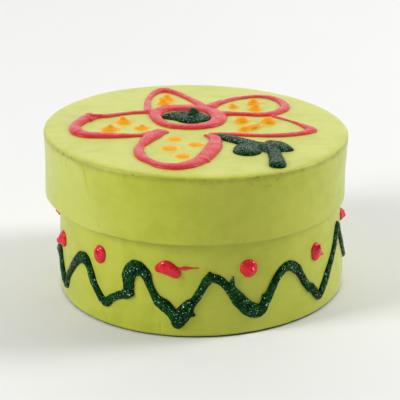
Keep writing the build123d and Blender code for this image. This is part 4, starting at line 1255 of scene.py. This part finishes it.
# -------------------------------------------------------------------- materials
class Paint:
    """A small helper to wire shader nodes; lengths are in millimetres."""

    def __init__(self, name):
        self.m = bpy.data.materials.new(name)
        self.m.use_nodes = True
        self.t = self.m.node_tree
        self.t.nodes.clear()
        self.out = self.t.nodes.new("ShaderNodeOutputMaterial")
        self.b = self.t.nodes.new("ShaderNodeBsdfPrincipled")
        self.t.links.new(self.b.outputs[0], self.out.inputs[0])
        co = self.t.nodes.new("ShaderNodeTexCoord")
        self.mm = self.vec("MULTIPLY", co.outputs["Object"], (1000, 1000, 1000))

    def put(self, socket, value):
        if hasattr(value, "is_output"):
            self.t.links.new(value, socket)
        else:
            socket.default_value = value

    def vec(self, op, a, b=None):
        n = self.t.nodes.new("ShaderNodeVectorMath")
        n.operation = op
        self.put(n.inputs[0], a)
        if b is not None:
            self.put(n.inputs[1], b)
        return n.outputs[0]

    def math(self, op, a, b=None, c=None, clamp=False):
        n = self.t.nodes.new("ShaderNodeMath")
        n.operation = op
        n.use_clamp = clamp
        self.put(n.inputs[0], a)
        if b is not None:
            self.put(n.inputs[1], b)
        if c is not None:
            self.put(n.inputs[2], c)
        return n.outputs[0]

    def noise(self, size, detail=2.0, rough=0.5, stretch=(1, 1, 1), shift=(0, 0, 0), distortion=0.0, vector=None):
        v = self.vec("MULTIPLY", vector or self.mm, stretch)
        v = self.vec("ADD", v, shift)
        n = self.t.nodes.new("ShaderNodeTexNoise")
        n.noise_dimensions = "3D"
        self.put(n.inputs["Vector"], v)
        n.inputs["Scale"].default_value = 1.0 / size
        n.inputs["Detail"].default_value = detail
        n.inputs["Roughness"].default_value = rough
        n.inputs["Distortion"].default_value = distortion
        return n.outputs["Fac"]

    def cells(self, size, vector=None, shift=(0, 0, 0), feature="F1", randomness=1.0):
        n = self.t.nodes.new("ShaderNodeTexVoronoi")
        n.feature = feature
        n.voronoi_dimensions = "3D"
        self.put(n.inputs["Vector"], self.vec("ADD", vector or self.mm, shift))
        n.inputs["Scale"].default_value = 1.0 / size
        n.inputs["Randomness"].default_value = randomness
        return n.outputs

    def scale(self, value, lo, hi, to_lo=0.0, to_hi=1.0, smooth=True):
        n = self.t.nodes.new("ShaderNodeMapRange")
        n.interpolation_type = "SMOOTHSTEP" if smooth else "LINEAR"
        n.clamp = True
        for k, v in zip(("Value", "From Min", "From Max", "To Min", "To Max"), (value, lo, hi, to_lo, to_hi)):
            self.put(n.inputs[k], v)
        return n.outputs["Result"]

    def attr(self, name):
        n = self.t.nodes.new("ShaderNodeAttribute")
        n.attribute_name = name
        return n.outputs["Fac"]

    def mix(self, fac, a, b, kind="MIX"):
        n = self.t.nodes.new("ShaderNodeMix")
        n.data_type = "RGBA"
        n.blend_type = kind
        n.clamp_factor = True
        self.put(n.inputs["Factor"], fac)
        self.put(n.inputs[6], a)
        self.put(n.inputs[7], b)
        return n.outputs[2]

    def ramp(self, fac, stops):
        n = self.t.nodes.new("ShaderNodeValToRGB")
        e = n.color_ramp.elements
        while len(e) < len(stops):
            e.new(0.5)
        for k, (p, c) in enumerate(stops):
            e[k].position = p
            e[k].color = c
        self.put(n.inputs[0], fac)
        return n.outputs[0]

    def bump(self, height, mm=0.1, strength=1.0, normal=None):
        n = self.t.nodes.new("ShaderNodeBump")
        n.inputs["Strength"].default_value = strength
        n.inputs["Distance"].default_value = mm * 0.001
        self.put(n.inputs["Height"], height)
        if normal is not None:
            self.put(n.inputs["Normal"], normal)
        return n.outputs[0]

    def set(self, **values):
        names = {"color": "Base Color", "rough": "Roughness", "metal": "Metallic", "spec": "Specular IOR Level",
                 "ior": "IOR", "normal": "Normal", "coat": "Coat Weight", "coat_rough": "Coat Roughness",
                 "coat_ior": "Coat IOR", "coat_normal": "Coat Normal", "sheen": "Sheen Weight", "sheen_rough": "Sheen Roughness", "sub": "Subsurface Weight",
                 "sub_radius": "Subsurface Radius", "sub_scale": "Subsurface Scale"}
        for k, v in values.items():
            self.put(self.b.inputs[names[k]], v)
        return self.m


def rgb(r, g, b):
    """sRGB 0 to 255 as linear."""
    def lin(c):
        c = c / 255
        return c / 12.92 if c <= 0.04045 else ((c + 0.055) / 1.055) ** 2.4
    return (lin(r), lin(g), lin(b), 1.0)


def kraft(p, light=1.0):
    """Colour and bump height of unpainted brown paper."""
    base = p.noise(6.0, 3, 0.55)
    fibre = p.noise(0.55, 4, 0.65, stretch=(1, 0.35, 1.3), distortion=1.2)
    fibre2 = p.noise(0.35, 3, 0.6, stretch=(0.4, 1, 1), shift=(31, 7, 3), distortion=2.0)
    a, b = rgb(176 * light, 146 * light, 107 * light), rgb(199 * light, 170 * light, 130 * light)
    colour = p.mix(base, a, b)
    colour = p.mix(p.scale(fibre, 0.52, 0.68, 0, 0.55), colour, rgb(214 * light, 190 * light, 154 * light))
    colour = p.mix(p.scale(fibre2, 0.58, 0.70, 0, 0.5), colour, rgb(140 * light, 110 * light, 76 * light))
    return colour, p.math("ADD", fibre, p.math("MULTIPLY", fibre2, 0.6))


def painted_paper(name, side):
    """Matte lime green brushed over paper. side: brush marks go round the side, otherwise across the flat, in a lighter
    lime that is painted light for the brighter top.
    """
    p = Paint(name)
    broad = p.noise(16, 2, 0.5)
    blotch = p.noise(4.5, 3, 0.55, shift=(11, 3, 5))
    if side:
        streak = p.noise(1.5, 4, 0.62, stretch=(0.12, 0.12, 1.35), distortion=0.5)
        streak2 = p.noise(0.6, 3, 0.6, stretch=(0.10, 0.10, 1.5), shift=(5, 9, 1), distortion=0.3)
        uprights = p.noise(2.6, 2, 0.5, stretch=(1.0, 1.0, 0.08), shift=(3, 8, 2))
    else:
        streak = p.noise(1.5, 4, 0.62, stretch=(0.11, 1.25, 1.0), distortion=0.5)
        streak2 = p.noise(0.6, 3, 0.6, stretch=(0.09, 1.4, 1.0), shift=(5, 9, 1), distortion=0.3)
        uprights = p.noise(2.8, 2, 0.5, stretch=(0.08, 0.9, 1.0), shift=(3, 8, 2))
    grain = p.noise(0.28, 3, 0.6)
    lime, deep, pale = LIME if side else LIME_FLAT_LIT
    colour = p.mix(p.scale(blotch, 0.35, 0.68), lime, deep)
    colour = p.mix(p.scale(broad, 0.38, 0.66, 0, 0.55), colour, pale)
    much = 1.0 if side else 0.3
    colour = p.mix(p.scale(streak, 0.42, 0.66, 0, 0.16 * much), colour, deep)
    colour = p.mix(p.scale(streak2, 0.50, 0.72, 0, 0.14 * much), colour, pale)
    colour = p.mix(p.scale(uprights, 0.48, 0.70, 0, 0.20 * much), colour, pale)
    # painted light: where the pale mark is set, the lid's side is mixed towards a pale lime standing in for its sheen
    colour = p.mix(p.math("MULTIPLY", p.attr("pale"), 0.5), colour, rgb(206, 211, 112))
    # thin places let a little of the brown paper through. The darkening towards olive below is mostly painted shade: at
    # the foot, under the rim and the lid's lip, along the seam and where the paper puckers; some of it is specks of
    # dirt
    shade_and_dirt = p.math("MULTIPLY", p.attr("shade_and_dirt"), p.scale(grain, 0.25, 0.62, 0.45, 1.0))
    colour = p.mix(p.math("MULTIPLY", shade_and_dirt, 0.88), colour, rgb(78, 74, 22))
    specks = p.cells(5.2, shift=(2, 5, 7))
    speck = p.math("MULTIPLY", p.scale(specks["Distance"], 0.030, 0.018), p.scale(p.noise(9, 1), 0.52, 0.62))
    colour = p.mix(p.math("MULTIPLY", speck, 0.7), colour, rgb(110, 104, 42))
    scuff = p.math("MULTIPLY", p.attr("scuff"), p.scale(p.noise(0.7, 3, 0.7), 0.34, 0.62))
    scuff = p.math("MULTIPLY", p.math("ADD", scuff, p.math("MULTIPLY", p.attr("scuff"), 0.35)), 1.0, clamp=True)
    colour = p.mix(scuff, colour, rgb(172, 166, 146))
    k_colour, k_height = kraft(p)
    edge = p.math("ADD", p.attr("painted"), p.scale(p.noise(1.6, 4, 0.6, shift=(8, 1, 4)), 0.25, 0.75, -0.9, 0.9, smooth=False))
    bare = p.scale(edge, 0.06, -0.10)
    colour = p.mix(bare, colour, k_colour)
    height = p.math("ADD", p.math("MULTIPLY", streak, 0.32 * much), p.math("MULTIPLY", grain, 0.35))
    height = p.math("ADD", height, p.math("MULTIPLY", streak2, 0.2 * much))
    height = p.math("ADD", height, p.math("MULTIPLY", blotch, 0.6))
    normal = p.bump(height, mm=0.055, strength=0.9)
    normal = p.bump(p.math("MULTIPLY", bare, -1.0), mm=0.05, strength=0.8, normal=normal)
    rough = p.scale(streak, 0.3, 0.7, 0.38, 0.50)
    rough = p.math("ADD", rough, p.math("MULTIPLY", bare, 0.3))
    return p.set(color=colour, rough=rough, normal=normal, spec=0.5, ior=1.5, sheen=0.4 if side else 0.22, sheen_rough=0.4)


def painted_foot_shadow(name):
    """A dark olive band for the foot's edge: painted contact shadow where the box meets the floor."""
    p = Paint(name)
    shadow_mottle = p.noise(1.8, 3, 0.6, stretch=(1, 1, 2))
    colour = p.mix(p.scale(shadow_mottle, 0.3, 0.7), rgb(38, 36, 6), rgb(66, 64, 12))
    return p.set(color=colour, rough=0.9, spec=0.04, normal=p.bump(p.noise(0.4, 3, 0.6), mm=0.05, strength=0.8))


def kraft_paper(name, light=1.0):
    p = Paint(name)
    colour, height = kraft(p, light)
    normal = p.bump(height, mm=0.05, strength=0.8)
    return p.set(color=colour, rough=p.scale(p.noise(2.0, 2), 0.3, 0.7, 0.72, 0.86), normal=normal, spec=0.35)


def board(name):
    p = Paint(name)
    a = p.noise(0.9, 4, 0.65, stretch=(1, 1, 4), distortion=0.8)
    colour = p.mix(a, rgb(134, 126, 112), rgb(172, 164, 148))
    return p.set(color=colour, rough=0.85, normal=p.bump(a, mm=0.06, strength=0.8), spec=0.3)


def relief_paint(name, thin, body, deep, rough=(0.2, 0.36), full=1.0, spec=0.5, steep=0.55, glints=0.0):
    """Glossy squeezed paint: paler where it is thin at its edges, deeper where it is thick."""
    p = Paint(name)
    thick = p.scale(p.attr("height"), 0.02, full)
    swirl = p.noise(1.3, 3, 0.55, distortion=0.8)
    fine = p.noise(0.35, 2, 0.5, shift=(4, 4, 4))
    colour = p.mix(thick, thin, body)
    colour = p.mix(p.scale(swirl, 0.45, 0.72, 0, 0.6), colour, deep)
    normal = p.bump(p.math("ADD", swirl, p.math("MULTIPLY", fine, 0.22)), mm=0.12, strength=steep)
    if glints:
        # small sharp wrinkles where the paint dried last
        wrinkle = p.scale(p.noise(0.5, 2, 0.5, shift=(9, 2, 6)), 0.55, 0.75)
        normal = p.bump(p.math("MULTIPLY", wrinkle, p.scale(p.noise(2.0, 1, 0.5, shift=(3, 3, 1)), 0.45, 0.6)), mm=0.2,
                        strength=glints, normal=normal)
    r = p.scale(p.noise(2.2, 3, 0.6, shift=(7, 1, 1)), 0.32, 0.68, rough[0], rough[1])
    return p.set(color=colour, rough=r, normal=normal, spec=spec)


def glitter(name):
    p = Paint(name)
    # flakes about 0.2 mm across, each with its own colour, brightness and tilt
    flakes = p.cells(0.21)
    pick = flakes["Color"]
    sep = p.t.nodes.new("ShaderNodeSeparateColor")
    p.put(sep.inputs[0], pick)
    r1, r2, r3 = sep.outputs[0], sep.outputs[1], sep.outputs[2]
    patch = p.scale(p.noise(2.6, 3, 0.6), 0.36, 0.64)
    base = p.mix(patch, GLITTER_DARK, GLITTER_MID)
    flake_colour = p.ramp(r1, [(0.0, rgb(3, 40, 8)), (0.45, rgb(11, 92, 25)), (0.78, rgb(18, 124, 48)),
                               (0.91, rgb(16, 110, 70)), (0.97, rgb(44, 88, 104)), (1.0, rgb(190, 228, 200))])
    is_flake = p.scale(r2, 0.60, 0.66, 0, 1, smooth=False)
    colour = p.mix(p.math("MULTIPLY", is_flake, p.scale(patch, 0, 1, 0.55, 0.9)), base, flake_colour)
    # painted highlight: a few flakes take a near-white colour that stands in for glints of light
    painted_glint = p.scale(r3, 0.979, 0.987, 0, 1, smooth=False)
    colour = p.mix(painted_glint, colour, rgb(188, 220, 208))
    rise = p.scale(p.attr("height"), 0.05, 0.6, 0.5, 0.0)
    colour = p.mix(rise, colour, rgb(2, 10, 2))
    # each flake lies at its own angle
    tilt = p.vec("SUBTRACT", pick, (0.5, 0.5, 0.5))
    lumps = p.bump(p.noise(0.55, 2, 0.6, shift=(1, 2, 3)), mm=0.10, strength=0.7)
    scaled = p.vec("SCALE", tilt)
    scaled.node.inputs["Scale"].default_value = 0.9
    tilted = p.vec("NORMALIZE", p.vec("ADD", lumps, scaled))
    metal = p.math("MULTIPLY", is_flake, 0.4)
    return p.set(color=colour, rough=0.28, metal=metal, normal=tilted, spec=0.06)


LIME = (rgb(187, 194, 48), rgb(177, 186, 36), rgb(195, 200, 62))
# painted light: a lighter copy of the lime for the flat pieces, standing in for the stronger light on the lid's top;
# the base's underside takes it too
LIME_FLAT_LIT = (rgb(198, 204, 62), rgb(189, 197, 50), rgb(206, 210, 77))
GLITTER_DARK, GLITTER_MID = rgb(1, 8, 2), rgb(12, 52, 11)

lime_side = painted_paper("painted_paper_side", True)
lime_flat = painted_paper("painted_paper_flat", False)
kraft_m = kraft_paper("kraft_lining")
board_m = board("grey_board")
red_m = relief_paint("red_relief_paint", rgb(219, 71, 72), rgb(217, 52, 60), rgb(205, 35, 48), rough=(0.18, 0.38), spec=0.2,
                     glints=0.5)
side_red_m = relief_paint("side_red_relief_paint", rgb(222, 30, 46), rgb(228, 12, 42), rgb(208, 4, 26), rough=(0.12, 0.24), spec=0.45,
                          glints=0.9)
orange_m = relief_paint("orange_relief_paint", rgb(244, 196, 56), rgb(250, 172, 16), rgb(247, 156, 4), rough=(0.3, 0.46), full=0.5,
                        spec=0.16)
green_m = glitter("green_glitter_paint")


def finish_piece(ob, material, slot, body, *nodes):
    ob.data.materials.clear()
    ob.data.materials.append(material)
    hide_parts(*nodes)
    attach(ob, body)


finish_piece(base_side, lime_side, "painted_paper", "base", "base_side_paper")
# painted contact shadow: a dark band along the foot's edge, a little taller towards the right
base_side.data.materials.append(painted_foot_shadow("painted_paper_foot_shadow"))
for f in base_side.data.polygons:
    x_, y_, z_ = (c * 1000 for c in f.center)
    if math.hypot(x_, y_) > 40.8 and z_ < 0.52 + 0.2 * max(0.0, min(1.0, x_ / 22)):
        f.material_index = 1
finish_piece(base_bottom, lime_flat, "painted_paper", "base", "base_bottom_paper")
finish_piece(wall_lining, kraft_m, "kraft_lining", "base", "base_wall_lining")
finish_piece(base_floor_lining, kraft_m, "kraft_lining", "base", "base_floor_lining")
finish_piece(zigzag, green_m, "green_glitter_paint", "base", "zigzag_line")
finish_piece(side_dots, side_red_m, "red_relief_paint", "base", "side_dots")
finish_piece(lid_side, lime_side, "painted_paper", "lid", "lid_side_paper")
finish_piece(lid_top, lime_flat, "painted_paper", "lid", "lid_top_paper")
finish_piece(rim_lining, kraft_m, "kraft_lining", "lid", "lid_rim_lining")
finish_piece(lid_top_lining, kraft_m, "kraft_lining", "lid", "lid_top_lining")
finish_piece(rim_board, board_m, "grey_board", "lid", "lid_rim")
finish_piece(top_board, board_m, "grey_board", "lid", "lid_top")
finish_piece(wall_board, board_m, "grey_board", "base", "base_wall")
finish_piece(floor_board, board_m, "grey_board", "base", "base_floor")
finish_piece(centre, green_m, "green_glitter_paint", "lid", "flower_centre")
finish_piece(leaf, green_m, "green_glitter_paint", "lid", "stem_and_leaf")
for key, ob in red.items():
    finish_piece(ob, red_m, "red_relief_paint", "lid", "flower_ring" if key == "ring" else f"petal_{key}")
for key, ob in dots.items():
    finish_piece(ob, orange_m, "orange_relief_paint", "lid", f"petal_dots_{key}")
# ------------------------------------------------------------------------ stage
scene = bpy.context.scene
scene.view_settings.view_transform = "Standard"
scene.view_settings.look = "None"
scene.view_settings.exposure = 0.0
scene.view_settings.gamma = 1.0


def sweep():
    """A floor that curves up into a backdrop far behind the box."""
    prof = [(-2.5, 0.0), (1.2, 0.0)] + [(1.2 + 0.8 * math.sin(t), 0.8 - 0.8 * math.cos(t)) for t in np.linspace(0.1, math.pi / 2, 14)] + [(2.0, 2.6)]
    xs = np.linspace(-3.5, 3.5, 5)
    v = np.array([(x, y, z) for y, z in prof for x in xs]) * 1000
    n = len(xs)
    f = np.array([(i * n + j, i * n + j + 1, (i + 1) * n + j + 1, (i + 1) * n + j) for i in range(len(prof) - 1) for j in range(n - 1)])
    return make_mesh("studio_floor", v, f)


floor = sweep()
p = Paint("studio_paper")
tone = p.noise(240, 2, 0.5)
floor_m = p.set(color=p.mix(tone, rgb(240, 241, 239), rgb(245, 245, 243)), rough=0.9, spec=0.2,
                normal=p.bump(p.noise(0.8, 3, 0.6), mm=0.05, strength=0.3))
floor.data.materials.append(floor_m)

world = bpy.data.worlds.new("studio")
scene.world = world
world.use_nodes = True
bg = world.node_tree.nodes["Background"]
bg.inputs[0].default_value = (1.0, 1.0, 1.0, 1.0)
bg.inputs[1].default_value = 0.253


def area(name, place, target, size, power, colour=(1, 1, 1)):
    light = bpy.data.lights.new(name, "AREA")
    light.shape = "RECTANGLE"
    light.size, light.size_y = size
    light.energy = power
    light.color = colour
    ob = bpy.data.objects.new(name, light)
    ob.location = place
    ob.rotation_euler = (Vector(target) - Vector(place)).to_track_quat("-Z", "Y").to_euler()
    ob.visible_camera = False
    scene.collection.objects.link(ob)
    return ob


aim = (0, 0, 0.03)


def soft(name, turn, rise, power, size=0.34, away=1.2):
    """A lamp aimed at the box: turn is degrees from +X towards +Y, rise is degrees above the table."""
    a, e = math.radians(turn), math.radians(rise)
    place = (away * math.cos(e) * math.cos(a), away * math.cos(e) * math.sin(a), 0.03 + away * math.sin(e))
    return area(name, place, aim, (size, size), power)


soft("soft_right_low", 6, 24, 4.65)
soft("soft_right_high", 12, 43, 3.85)
soft("soft_left_low", 204, 24, 4.47)
soft("soft_left_high", 202, 38, 3.96)
area("soft_back", (0.0, 1.3, 0.75), aim, (3.2, 1.5), 14.0)


# ----------------------------------------------------------------------- camera
def rotated(v, axis, angle):
    v, axis = np.array(v, float), np.array(axis, float)
    c, s = math.cos(angle), math.sin(angle)
    return v * c + np.cross(axis, v) * s + axis * (axis @ v) * (1 - c)


tilt_down, away = 0.365004, 0.43483
back = np.array([0, -math.cos(tilt_down), math.sin(tilt_down)])
right = np.array([1.0, 0, 0])
up = np.array([0, math.sin(tilt_down), math.cos(tilt_down)])
eye = back * away + np.array([0, 0, 0.024])
b1, r1 = rotated(back, up, 0.000469), rotated(right, up, 0.000469)
b2 = rotated(b1, r1, 0.0027079)
u2 = np.cross(b2, r1)
r3 = rotated(r1, b2, -0.0063646)
u3 = np.cross(b2, r3)
cam = bpy.data.cameras.new("photo_view")
cam.sensor_fit = "HORIZONTAL"
cam.sensor_width = 36.0
cam.lens = 1439.85 / 400 * 36.0
cam_ob = bpy.data.objects.new("photo_view", cam)
M = Matrix.Identity(4)
for row in range(3):
    M[row][0], M[row][1], M[row][2], M[row][3] = r3[row], u3[row], b2[row], eye[row]
cam_ob.matrix_world = M
scene.collection.objects.link(cam_ob)
scene.camera = cam_ob
